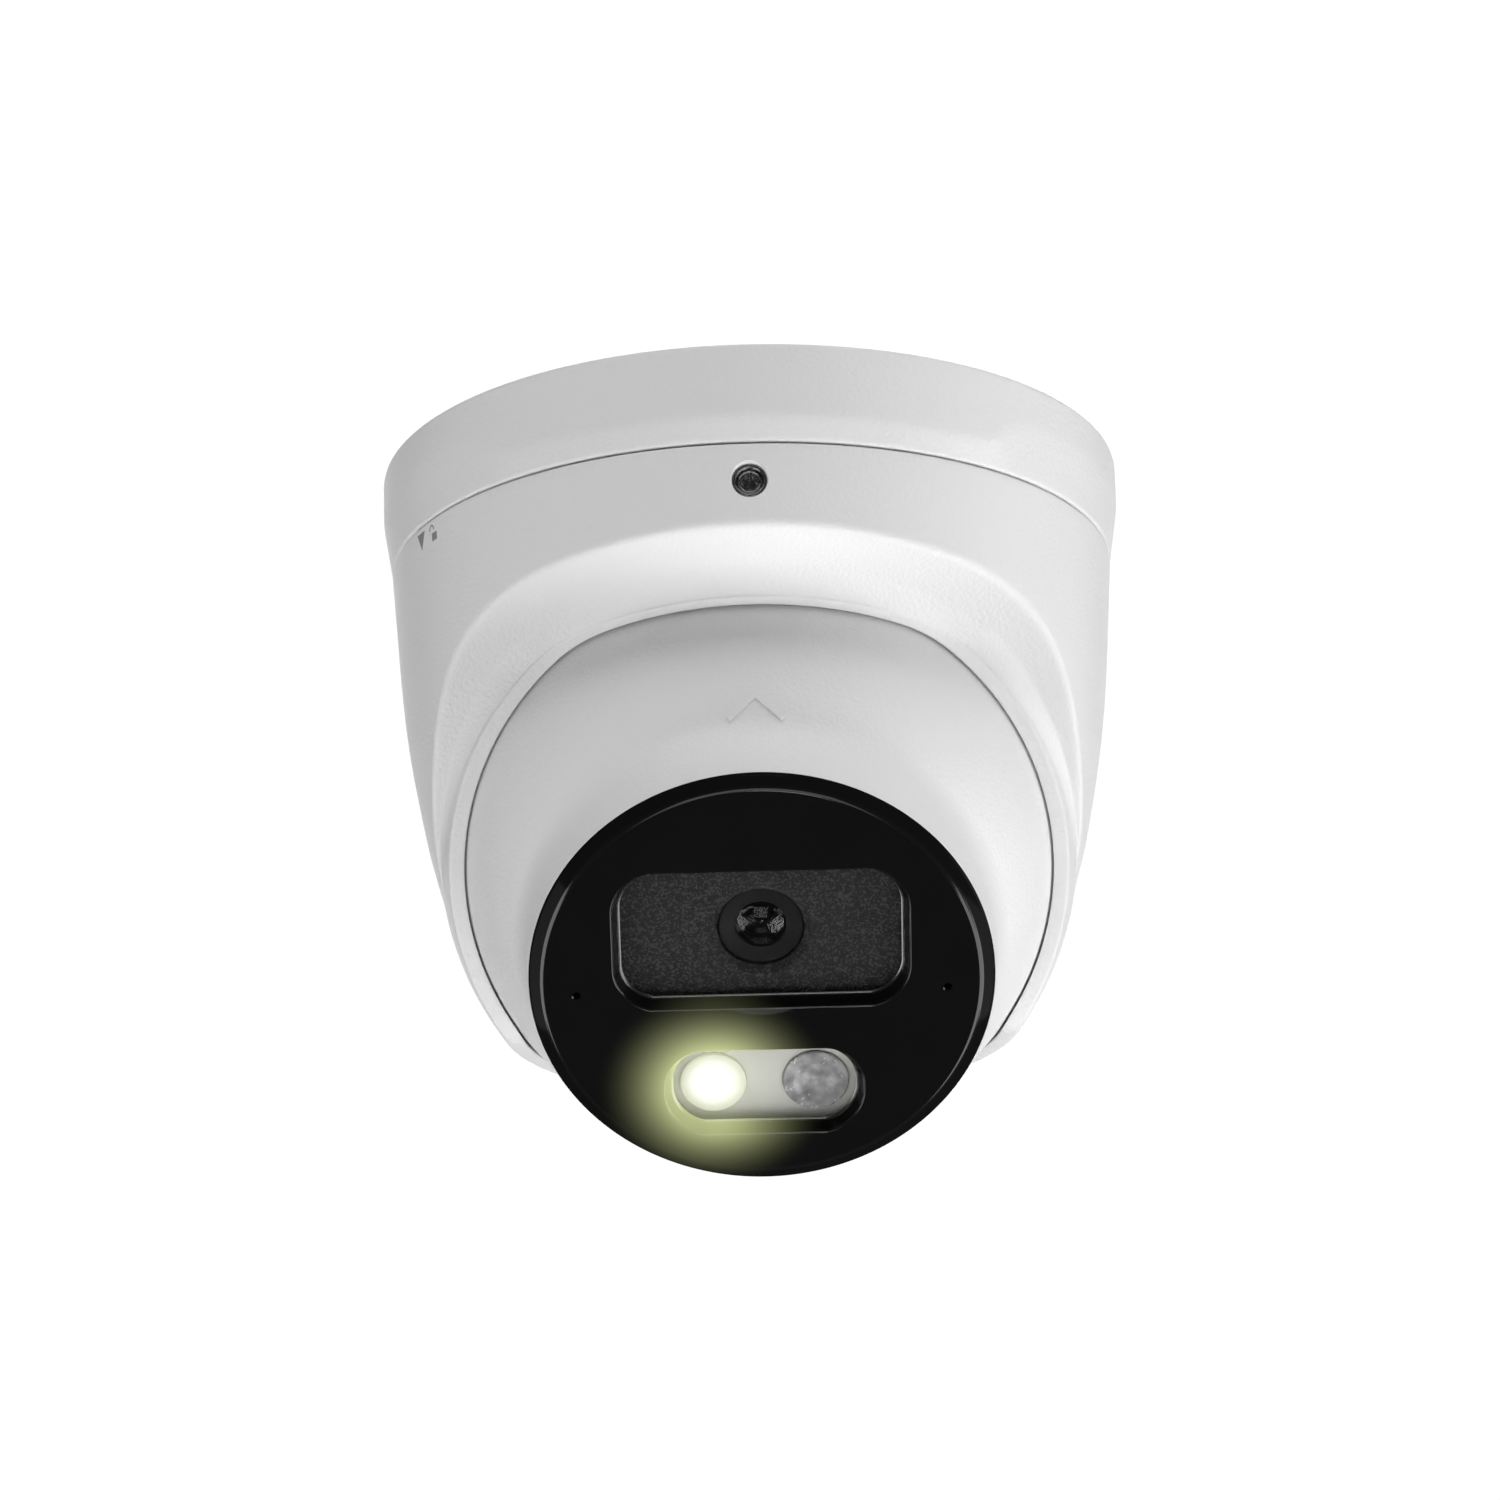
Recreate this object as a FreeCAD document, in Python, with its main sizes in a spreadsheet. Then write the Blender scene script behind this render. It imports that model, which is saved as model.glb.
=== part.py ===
import FreeCAD, Part
import math
import operator
import os
import Sketcher

# A ceiling turret camera. The origin is the centre of the face that meets the ceiling, +Z points
# into the ceiling, and the lens looks towards -Y and down. Millimetres and degrees.

DRIVING = [
    ("flange_radius", 61.0, "outer radius of the mounting base"),
    ("seam_radius", 59.6, "radius where base and housing meet"),
    ("seam_depth", 16.1, "ceiling to the base's lower edge"),
    ("seam_gap", 0.3, "gap between base and housing"),
    ("crease_low", 12.2, "depth of the base's crease in front and behind"),
    ("crease_high", 7.0, "depth of the base's crease at the sides"),
    ("side_zone", 92.0, "angle of each side zone of the crease"),
    ("plate", 3.5, "thickness of the base plate"),
    ("wall", 2.4, "casting wall"),
    ("cable_hole_radius", 11.0, "passage for the cable and its plugs"),
    ("mount_circle_radius", 36.0, "circle of the three mounting screws"),
    ("mount_hole_radius", 2.3, "clearance for a 4 mm screw"),
    ("hub_inner", 42.5, "pan hub of the base"),
    ("hub_outer", 46.5, "pan hub of the base"),
    ("hub_depth", 11.7, "ceiling to the end of the hub"),
    ("pan_gap", 0.3, "play round the pan ring"),
    ("pan_ring_outer", 52.2, "outside of the pan ring"),
    ("lug_outer", 54.6, "bayonet lugs of the pan ring"),
    ("lug_thick", 2.0, "height of a bayonet lug"),
    ("lug_angle", 40.0, "arc of a bayonet lug"),
    ("pan_ring_depth", 14.5, "ceiling to the end of the pan ring"),
    ("retainer_thick", 1.5, "retaining ring under the pan ring"),
    ("tongue_width", 12.0, "locking tongue of the pan ring"),
    ("tongue_depth", 25.5, "ceiling to the tip of the tongue"),
    ("lock_depth", 22.5, "ceiling to the locking screw"),
    ("lock_screw_radius", 2.0, "4 mm set screw"),
    ("lock_screw_length", 6.9, "length of the set screw"),
    ("lock_recess_radius", 1.62, "star drive of the set screw"),
    ("insert_radius", 2.8, "threaded insert of the locking screw"),
    ("ball_drop", 63.7, "ceiling to the centre of the ball"),
    ("ball_radius", 49.5, "outside of the camera ball"),
    ("ball_gap", 0.4, "ball to its socket"),
    ("collar_radius", 52.3, "outside of the housing's ball collar"),
    ("collar_end", 95.0, "ceiling to the collar's edge at the back"),
    ("tilt_rest", 43.0, "lens axis from straight down, at rest"),
    ("tilt_most", 70.0, "lens axis from straight down, at its upper stop"),
    ("clamp_top", 24.5, "ceiling to the ball clamp"),
    ("clamp_thick", 2.0, "plate of the ball clamp"),
    ("clamp_outer", 56.0, "outside of the ball clamp"),
    ("clamp_bolt_radius", 53.2, "circle of the clamp screws"),
    ("guide_radius", 52.4, "outside of the tilt guide"),
    ("guide_width", 14.0, "width of the tilt guide"),
    ("slot_width", 8.6, "slot of the tilt guide"),
    ("lug_radius", 4.1, "hollow lug that runs in the slot"),
    ("shell_split", -5.0, "joint of the two ball shells, along the lens axis"),
    ("rear_flat", -40.0, "flat at the back of the ball"),
    ("journal_radius", 9.95, "journal on which the ball turns"),
    ("journal_end", -45.6, "end of the journal"),
    ("cable_bore", 2.9, "bore of the cable gland"),
    ("neck_root", 32.0, "where the neck leaves the ball"),
    ("neck_front", 43.0, "front edge of the neck"),
    ("neck_radius", 37.0, "radius of that edge"),
    ("neck_bore", 34.6, "inside of the neck"),
    ("face_front", 44.5, "front plane of the black face"),
    ("face_flat_radius", 35.4, "inner edge of the face's bevel"),
    ("face_thick", 2.5, "thickness of the face"),
    ("lens_height", 7.5, "lens axis above the ball's axis"),
    ("light_height", -20.4, "lights below the ball's axis"),
    ("light_spacing", 8.2, "each light from the middle"),
    ("lens_window_width", 46.6, "lens window at the face"),
    ("lens_window_height", 26.6, "lens window at the face"),
    ("light_window_width", 31.4, "light window at the face"),
    ("light_window_height", 16.0, "light window at the face"),
    ("window_corner", 6.0, "corner radius of both windows"),
    ("window_draft", 1.25, "how far the windows' walls lean in"),
    ("pane_thick", 1.0, "window panes"),
    ("microphone_spacing", 29.3, "each microphone hole from the middle"),
    ("microphone_height", -1.7, "microphone holes below the ball's axis"),
    ("microphone_hole", 0.6, "radius of the holes"),
    ("lens_front", 39.8, "front of the lens barrel"),
    ("lens_flange_radius", 6.85, "front flange of the lens barrel"),
    ("lens_thread_radius", 6.0, "12 mm lens thread"),
    ("board_thick", 1.6, "circuit boards"),
    ("sensor_plane", 11.0, "front of the image sensor"),
    ("chassis_radius", 40.0, "inner chassis plate"),
    ("main_board_radius", 36.0, "main circuit board"),
    ("service_axis", 16.0, "service door along the lens axis"),
    ("service_width", 25.0, "service door"),
    ("service_height", 14.0, "service door"),
    ("button_travel", 0.25, "reset button"),
]

OPERATIONS = {"+": operator.add, "-": operator.sub, "*": operator.mul, "/": operator.truediv}
Vector = FreeCAD.Vector
ACROSS = Vector(1, 0, 0)
DEEP = Vector(0, 1, 0)
UP = Vector(0, 0, 1)
FULL_TURN = 360.0

doc = FreeCAD.newDocument("turret_camera")
sheet = doc.addObject("Spreadsheet::Sheet", "Dimensions")


class Size:
    """A number together with the spreadsheet formula that gives it."""

    def __init__(self, value, formula):
        self.value = float(value)
        self.formula = formula

    def __add__(self, other):
        return combine(self, "+", other)

    def __radd__(self, other):
        return combine(other, "+", self)

    def __sub__(self, other):
        return combine(self, "-", other)

    def __rsub__(self, other):
        return combine(other, "-", self)

    def __mul__(self, other):
        return combine(self, "*", other)

    def __rmul__(self, other):
        return combine(other, "*", self)

    def __truediv__(self, other):
        return combine(self, "/", other)

    def __neg__(self):
        return combine(0.0, "-", self)


def as_size(number):
    if isinstance(number, Size):
        return number
    return Size(number, "(%r)" % float(number))


def combine(first, sign, second):
    first = as_size(first)
    second = as_size(second)
    value = OPERATIONS[sign](first.value, second.value)
    return Size(value, "(%s %s %s)" % (first.formula, sign, second.formula))


def root(size):
    return Size(math.sqrt(size.value), "sqrt(%s)" % size.formula)


def on_sphere(radius, axial):
    """Distance from the axis of the point of a sphere at that place along the axis."""
    radius = as_size(radius)
    axial = as_size(axial)
    return root(radius * radius - axial * axial)


class Dimensions:
    """One attribute for each driving dimension of the sheet."""


def fill_sheet():
    dimensions = Dimensions()
    for row, (alias, value, note) in enumerate(DRIVING, start=1):
        sheet.set("A%d" % row, note)
        sheet.set("B%d" % row, str(value))
        sheet.setAlias("B%d" % row, alias)
        setattr(dimensions, alias, Size(value, "Dimensions." + alias))
    doc.recompute()
    return dimensions


dim = fill_sheet()
WORLD = FreeCAD.Placement()
# Inside the ball, the local Z axis is the lens axis and the local Y axis is the picture's top.
BALL_CENTRE = Vector(0, 0, -dim.ball_drop.value)
BALL = FreeCAD.Placement(BALL_CENTRE, FreeCAD.Rotation(ACROSS, 180.0 - dim.tilt_rest.value))
parts = []


def bind(thing, prop, size):
    size = as_size(size)
    thing.setExpression(prop, size.formula)


def point(x, y, z):
    return Vector(as_size(x).value, as_size(y).value, as_size(z).value)


def polar(radius, degrees, z):
    """A point at that angle, counted from +X towards +Y."""
    turn = math.radians(degrees)
    length = as_size(radius).value
    return Vector(length * math.cos(turn), length * math.sin(turn), as_size(z).value)


# Solids


def block(centre, lengths):
    """A box about its centre."""
    made = doc.addObject("Part::Box", "Block")
    for prop, size in zip(("Length", "Width", "Height"), lengths):
        bind(made, prop, size)
    half = Vector(*[as_size(size).value / 2 for size in lengths])
    made.Placement.Base = centre - half
    return made


def rod(radius, length, start, direction=UP, sweep=None):
    """A cylinder from its start, or a sector of one that turns from local X."""
    made = doc.addObject("Part::Cylinder", "Rod")
    bind(made, "Radius", radius)
    bind(made, "Height", length)
    if sweep is not None:
        bind(made, "Angle", sweep)
    made.Placement = FreeCAD.Placement(start, FreeCAD.Rotation(UP, direction))
    return made


def globe(radius, centre=Vector()):
    made = doc.addObject("Part::Sphere", "Globe")
    bind(made, "Radius", radius)
    made.Placement.Base = centre
    return made


def seal_ring(radius, thick, centre):
    """A round-section ring about Z."""
    made = doc.addObject("Part::Torus", "SealRing")
    bind(made, "Radius1", radius)
    bind(made, "Radius2", thick)
    made.Placement.Base = centre
    return made


def group(*pieces):
    if len(pieces) == 1:
        return pieces[0]
    made = doc.addObject("Part::MultiFuse", "Joined")
    made.Shapes = list(pieces)
    return made


def loose_group(*pieces):
    made = doc.addObject("Part::Compound", "Set")
    made.Links = list(pieces)
    return made


def minus(base, *tools):
    made = doc.addObject("Part::Cut", "Cut")
    made.Base = base
    made.Tool = group(*tools)
    return made


def overlap(first, second):
    made = doc.addObject("Part::Common", "Shared")
    made.Base = first
    made.Tool = second
    return made


def tube(outer, inner, length, start, direction=UP):
    return minus(rod(outer, length, start, direction), rod(inner, length, start, direction))


# Sketches


def origin_plane(body, role):
    return [item for item in body.Origin.OriginFeatures if item.Role == role][0]


def side_of_outline(start, end, is_arc):
    """The side's geometry, and which of its ends is its start."""
    if not is_arc:
        return Part.LineSegment(start, end), True
    rise = end.y - start.y
    height = (end.x**2 - start.x**2 + end.y**2 - start.y**2) / (2 * rise)
    centre = Vector(0, height, 0)
    circle = Part.Circle(centre, UP, (start - centre).Length)
    first = math.atan2(start.y - height, start.x)
    last = math.atan2(end.y - height, end.x)
    forward = last > first
    return Part.ArcOfCircle(circle, min(first, last), max(first, last)), forward


def place_corner(sketch, side, position, axis, size):
    """Fixes one coordinate of a corner, on the axis itself where it is zero."""
    if size.value == 0.0:
        line = -2 if axis == "DistanceX" else -1
        sketch.addConstraint(Sketcher.Constraint("PointOnObject", side, position, line))
        return
    index = sketch.addConstraint(Sketcher.Constraint(axis, side, position, size.value))
    sketch.setExpression("Constraints[%d]" % index, size.formula)


def outline(body, plane, corners, arcs=(), lift=0.0):
    """A closed outline. The sides numbered in arcs are arcs centred on the vertical axis."""
    sketch = body.newObject("Sketcher::SketchObject", "Outline")
    sketch.AttachmentSupport = [(origin_plane(body, plane), "")]
    sketch.MapMode = "FlatFace"
    sketch.AttachmentOffset = FreeCAD.Placement(Vector(0, 0, as_size(lift).value), FreeCAD.Rotation())
    corners = [(as_size(x), as_size(y)) for x, y in corners]
    places = [Vector(x.value, y.value, 0) for x, y in corners]
    count = len(corners)
    ends = []
    for index in range(count):
        side, forward = side_of_outline(places[index], places[(index + 1) % count], index in arcs)
        sketch.addGeometry(side, False)
        ends.append((1, 2) if forward else (2, 1))
    for index, (x, y) in enumerate(corners):
        before = (index - 1) % count
        joined = Sketcher.Constraint("Coincident", before, ends[before][1], index, ends[index][0])
        sketch.addConstraint(joined)
        place_corner(sketch, index, ends[index][0], "DistanceX", x)
        place_corner(sketch, index, ends[index][0], "DistanceY", y)
        if index in arcs:
            sketch.addConstraint(Sketcher.Constraint("PointOnObject", index, 3, -2))
    return sketch


def turned(corners, arcs=(), sweep=None):
    """A body turned about its own Z axis from an outline of (radius, height) corners."""
    body = doc.addObject("PartDesign::Body", "Turned")
    sketch = outline(body, "XZ_Plane", corners, arcs)
    made = body.newObject("PartDesign::Revolution", "Revolution")
    made.Profile = sketch
    made.ReferenceAxis = (sketch, ["V_Axis"])
    made.Angle = FULL_TURN
    if sweep is not None:
        made.Midplane = True
        bind(made, "Angle", sweep)
    return body


def slab(plane, corners, thick, lift=0.0):
    """A body padded from an outline, equally to both sides of it."""
    body = doc.addObject("PartDesign::Body", "Slab")
    sketch = outline(body, plane, corners, (), lift)
    made = body.newObject("PartDesign::Pad", "Pad")
    made.Profile = sketch
    made.Midplane = True
    bind(made, "Length", thick)
    return body


def round_edges(body, chosen, radius):
    """Fillets the edges of the body for which chosen(edge) is true."""
    doc.recompute()
    tip = body.Tip
    names = ["Edge%d" % n for n, edge in enumerate(tip.Shape.Edges, start=1) if chosen(edge)]
    if not names:
        raise RuntimeError("no edge to round on " + body.Name)
    made = body.newObject("PartDesign::Fillet", "Rounding")
    made.Base = (tip, names)
    bind(made, "Radius", radius)
    return body


def runs_along(edge, direction):
    start = edge.Vertexes[0].Point
    way = edge.Vertexes[-1].Point - start
    return way.Length > 0 and way.cross(direction).Length < 1e-6 * way.Length


def rounded_plate(width, height, corner, thick, middle):
    """A plate with round corners across the lens axis, about its middle."""
    half_w = as_size(width) / 2
    half_h = as_size(height) / 2
    corners = [(-half_w, -half_h), (half_w, -half_h), (half_w, half_h), (-half_w, half_h)]
    body = slab("XY_Plane", corners, thick)
    round_edges(body, lambda edge: runs_along(edge, UP), corner)
    body.Placement.Base = middle
    return body


def tapered_plug(width, height, corner, lean, front, depth, middle_height):
    """The solid of a window opening, whose walls lean in by lean from the face to its depth."""
    body = doc.addObject("PartDesign::Body", "Plug")
    made = body.newObject("PartDesign::AdditiveLoft", "Loft")
    sketches = []
    for inset, height_above in ((as_size(0.0), front), (lean, front - depth)):
        half_w = width / 2 - inset
        half_h = height / 2 - inset
        bend = corner - inset
        sketches.append(rounded_outline(body, half_w, half_h, bend, height_above, middle_height))
    made.Profile = sketches[0]
    made.Sections = sketches[1:]
    return body


def rounded_outline(body, half_w, half_h, bend, lift, middle_height):
    """A rectangle with round corners, held by its straight sides and tangent arcs."""
    sketch = body.newObject("Sketcher::SketchObject", "Outline")
    sketch.AttachmentSupport = [(origin_plane(body, "XY_Plane"), "")]
    sketch.MapMode = "FlatFace"
    offset = Vector(0, as_size(middle_height).value, lift.value)
    sketch.AttachmentOffset = FreeCAD.Placement(offset, FreeCAD.Rotation())
    w = half_w.value
    h = half_h.value
    r = bend.value
    bottom_start = Vector(r - w, -h, 0)
    sides = [
        (bottom_start, Vector(w - r, -h, 0)),
        (Vector(w, r - h, 0), Vector(w, h - r, 0)),
        (Vector(w - r, h, 0), Vector(r - w, h, 0)),
        (Vector(-w, h - r, 0), Vector(-w, r - h, 0)),
    ]
    centres = [Vector(w - r, r - h, 0), Vector(w - r, h - r, 0)]
    centres += [Vector(r - w, h - r, 0), Vector(r - w, r - h, 0)]
    for start, end in sides:
        sketch.addGeometry(Part.LineSegment(start, end), False)
    for number, centre in enumerate(centres):
        start_angle = math.radians(90 * number - 90)
        circle = Part.Circle(centre, UP, r)
        sketch.addGeometry(Part.ArcOfCircle(circle, start_angle, start_angle + math.pi / 2), False)
    for number in range(4):
        arc = 4 + number
        sketch.addConstraint(Sketcher.Constraint("Tangent", number, 2, arc, 1))
        sketch.addConstraint(Sketcher.Constraint("Tangent", arc, 2, (number + 1) % 4, 1))
        kind = "Horizontal" if number % 2 == 0 else "Vertical"
        sketch.addConstraint(Sketcher.Constraint(kind, number))
    for arc in range(5, 8):
        sketch.addConstraint(Sketcher.Constraint("Equal", 4, arc))
    radius = sketch.addConstraint(Sketcher.Constraint("Radius", 4, r))
    bind(sketch, "Constraints[%d]" % radius, bend)
    for side, axis, place in ((0, "DistanceY", -half_h), (2, "DistanceY", half_h)):
        place_corner(sketch, side, 1, axis, place)
    for side, axis, place in ((1, "DistanceX", half_w), (3, "DistanceX", -half_w)):
        place_corner(sketch, side, 1, axis, place)
    return sketch


def keep(label, made, frame=WORLD):
    """Makes a solid one of the camera's parts."""
    made.Label = label
    made.Placement = frame.multiply(made.Placement)
    parts.append(made)
    return made


# Mounting base, which stays on the ceiling


def crease_zone():
    """What the side zones of the base's band lose, on one side."""
    spare = 1.0
    beyond = dim.flange_radius + 2 * spare
    low = dim.seam_radius - 0.1
    lean = (dim.flange_radius - low) / (dim.seam_depth - dim.crease_high)
    corners = [
        (dim.flange_radius + lean, spare - dim.crease_high),
        (beyond, spare - dim.crease_high),
        (beyond, -dim.seam_depth - spare),
        (low - lean, -dim.seam_depth - spare),
    ]
    return turned(corners, sweep=dim.side_zone)


def mounting_base():
    edge_break = 0.4
    inner_skirt_low = dim.seam_radius - dim.wall
    inner_skirt_high = dim.flange_radius - dim.wall - 0.4
    corners = [
        (dim.cable_hole_radius, 0.0),
        (dim.flange_radius - edge_break, 0.0),
        (dim.flange_radius, -edge_break),
        (dim.flange_radius, -dim.crease_low),
        (dim.seam_radius, -dim.seam_depth),
        (inner_skirt_low, -dim.seam_depth),
        (inner_skirt_high, -dim.plate),
        (dim.hub_outer, -dim.plate),
        (dim.hub_outer, -dim.hub_depth),
        (dim.hub_inner, -dim.hub_depth),
        (dim.hub_inner, -dim.plate),
        (dim.cable_hole_radius, -dim.plate),
    ]
    body = turned(corners)
    right = crease_zone()
    left = crease_zone()
    left.Placement = FreeCAD.Placement(Vector(), FreeCAD.Rotation(UP, 180))
    recess_depth = 1.5
    recess = tube(41.0, 15.0, recess_depth, point(0, 0, -recess_depth))
    kept = []
    for number in range(3):
        turn = 90 + 120 * number
        kept.append(rod(6.5, recess_depth, polar(dim.mount_circle_radius, turn, -recess_depth)))
    for number in range(6):
        rib = block(point(28, 0, -recess_depth / 2), (34.0, 2.0, recess_depth))
        turn = FreeCAD.Rotation(UP, 60 * number)
        rib.Placement = FreeCAD.Placement(turn.multVec(rib.Placement.Base), turn)
        kept.append(rib)
    tools = [right, left, minus(recess, *kept)]
    for number in range(3):
        start = polar(dim.mount_circle_radius, 90 + 120 * number, -dim.plate)
        tools.append(rod(dim.mount_hole_radius, dim.plate, start))
    for number in range(4):
        start = polar(dim.hub_outer / 2 + dim.hub_inner / 2, 45 + 90 * number, -dim.hub_depth)
        tools.append(rod(1.25, 6.0, start))
    keep("mounting_base", minus(body, *tools))


def pan_bearing():
    top = dim.plate
    inner = dim.hub_outer + dim.pan_gap
    ring = tube(dim.pan_ring_outer - 0.7, inner + 0.3, 0.8, point(0, 0, -top - 0.8))
    keep("pan_friction_ring", ring)
    screw_circle = dim.hub_outer / 2 + dim.hub_inner / 2
    low = dim.hub_depth + dim.retainer_thick
    plate = tube(49.5, 41.5, dim.retainer_thick, point(0, 0, -low))
    holes = []
    screws = []
    for number in range(4):
        start = polar(screw_circle, 45 + 90 * number, -low)
        holes.append(rod(1.4, dim.retainer_thick, start))
        head = rod(2.2, 1.5, start - Vector(0, 0, 1.5))
        shank = rod(1.2, dim.retainer_thick + 5.6, start)
        slot = block(start - Vector(0, 0, 1.2), (2.6, 0.6, 0.8))
        other = block(start - Vector(0, 0, 1.2), (0.6, 2.6, 0.8))
        screws.append(minus(group(head, shank), slot, other))
    keep("pan_ring_retainer", minus(plate, *holes))
    keep("retainer_screws", loose_group(*screws))


# What pans with the housing


def bayonet_lugs(inner, outer, high, low, turn):
    """Three lugs, centred on the turn and its thirds, between two depths."""
    lugs = []
    for number in range(3):
        sector = rod(outer, low - high, point(0, 0, -low), sweep=dim.lug_angle)
        middle = turn + 120 * number - dim.lug_angle.value / 2
        sector.Placement.Rotation = FreeCAD.Rotation(UP, middle)
        lugs.append(minus(sector, rod(inner, low - high, point(0, 0, -low))))
    return lugs


def pan_ring():
    inner = dim.hub_outer + dim.pan_gap
    skirt = dim.pan_ring_outer - 2.2
    top = dim.plate + 1.0
    corners = [
        (inner, -top),
        (dim.pan_ring_outer, -top),
        (dim.pan_ring_outer, -dim.pan_ring_depth),
        (skirt, -dim.pan_ring_depth),
        (skirt, -dim.hub_depth + 0.2),
        (inner, -dim.hub_depth + 0.2),
    ]
    high = dim.pan_ring_depth - dim.lug_thick
    lugs = bayonet_lugs(dim.pan_ring_outer - 0.5, dim.lug_outer, high, dim.pan_ring_depth, 90)
    tongue_length = dim.tongue_depth - high
    front = dim.pan_ring_outer - 1.0
    middle = point(0, -front, -(high + tongue_length / 2))
    tongue = block(middle, (dim.tongue_width, 2.0, tongue_length))
    hole = rod(dim.lock_screw_radius + 0.1, 10.0, point(0, -front + 5.0, -dim.lock_depth), -DEEP)
    keep("pan_ring", minus(group(turned(corners), *lugs, tongue), hole))


def side_cut(corners, bends, width=140.0):
    """A tool that cuts straight across the housing below a line drawn in the side view."""
    body = slab("YZ_Plane", corners, width)
    doc.recompute()
    for (y, z), radius in bends:
        place = point(0, y, z)

        def near(edge, place=place):
            middle = edge.BoundBox.Center
            return runs_along(edge, ACROSS) and (middle - place).Length < 0.5

        round_edges(body, near, radius)
    return body


def visor_cut(raise_by=0.0, back_by=0.0):
    """Below the visor: nearly flat in front, then steep at the sides."""
    bend = (-35.6 + back_by, -36.2 + raise_by)
    corners = [
        (-80.0 + back_by, -24.2 + raise_by),
        bend,
        (5.0 + back_by, -83.3 + raise_by),
        (5.0 + back_by, -140.0),
        (-80.0 + back_by, -140.0),
    ]
    return side_cut(corners, [(bend, 44.0)])


def opening_cut():
    """The ball's opening: flat in front, steep at the sides, level behind."""
    front_bend = (-34.0, -40.0)
    back_bend = (2.6, -dim.collar_end)
    corners = [
        (-80.0, -25.7),
        front_bend,
        back_bend,
        (80.0, -dim.collar_end),
        (80.0, -150.0),
        (-80.0, -150.0),
    ]
    return side_cut(corners, [(front_bend, 8.0), (back_bend, 6.0)], 160.0)


def housing_wall(inset):
    """The tapered wall outside the ball, as (radius, height) corners from the seam down."""
    top = dim.seam_depth + dim.seam_gap
    wall = [(dim.seam_radius, top), (58.9, 26.0), (58.0, 38.0), (56.8, 48.0), (55.4, 56.0)]
    return [(radius - inset, -depth) for radius, depth in wall]


def housing():
    top = dim.seam_depth + dim.seam_gap
    outside = housing_wall(0.0) + [(53.8, -64.0), (52.5, -69.0), (50.0, -78.0), (0.0, -78.0)]
    outer = turned([(0.0, -top)] + outside)
    socket = globe(dim.ball_radius + dim.ball_gap, BALL_CENTRE)
    collar = globe(dim.collar_radius, BALL_CENTRE)
    low_half = block(point(0, 0, -105.0), (120.0, 120.0, 140.0))
    shape = group(minus(outer, visor_cut()), overlap(collar, low_half))
    inside = housing_wall(dim.wall) + [(52.7, -58.5)]
    hollow = turned([(0.0, -top)] + inside + [(0.0, inside[-1][1])])
    upper_hollow = minus(hollow, visor_cut(2.3, 1.2))
    shell = minus(shape, upper_hollow, socket, opening_cut())
    collar_outer = dim.seam_radius - dim.wall - 0.4
    collar_inner = dim.lug_outer + 0.4
    flange_low = top + dim.wall
    rim = tube(dim.seam_radius - 1.5, collar_inner, dim.wall, point(0, 0, -flange_low))
    spigot_high = dim.pan_ring_depth - dim.lug_thick - 2.3
    spigot = tube(collar_outer, collar_inner, top - spigot_high, point(0, 0, -top))
    lug_low = dim.pan_ring_depth - dim.lug_thick - 0.2
    lugs = bayonet_lugs(dim.pan_ring_outer + 0.8, collar_inner + 0.5, spigot_high, lug_low, 90)
    bosses = []
    holes = []
    boss_top = dim.clamp_top + dim.clamp_thick
    for number in range(4):
        start = polar(dim.clamp_bolt_radius, 45 + 90 * number, -boss_top - 9.0)
        bosses.append(overlap(rod(3.6, 9.0, start), rod(57.4, 60.0, point(0, 0, -80))))
        holes.append(rod(1.45, 7.5, start + Vector(0, 0, 1.5)))
    lock_start = point(0, -53.6, -dim.lock_depth)
    bosses.append(rod(4.3, 4.6, lock_start, -DEEP))
    lock_hole = rod(dim.insert_radius, 8.0, lock_start, -DEEP)
    keep("housing", minus(group(shell, rim, spigot, *lugs, *bosses), *holes, lock_hole))


def locking_screw():
    start = point(0, -53.6, -dim.lock_depth)
    insert = tube(dim.insert_radius, dim.lock_screw_radius + 0.05, 5.2, start, -DEEP)
    keep("lock_screw_insert", insert)
    tip = point(0, -51.4, -dim.lock_depth)
    shank = rod(dim.lock_screw_radius, dim.lock_screw_length, tip, -DEEP)
    socket_start = tip - Vector(0, dim.lock_screw_length.value - 1.6, 0)
    petals = [rod(0.95, 2.0, socket_start, -DEEP)]
    for number in range(6):
        turn = math.radians(60 * number)
        reach = dim.lock_recess_radius.value - 0.42
        offset = Vector(reach * math.cos(turn), 0, reach * math.sin(turn))
        petals.append(rod(0.42, 2.0, socket_start + offset, -DEEP))
    keep("lock_screw", minus(shank, *petals))


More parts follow.
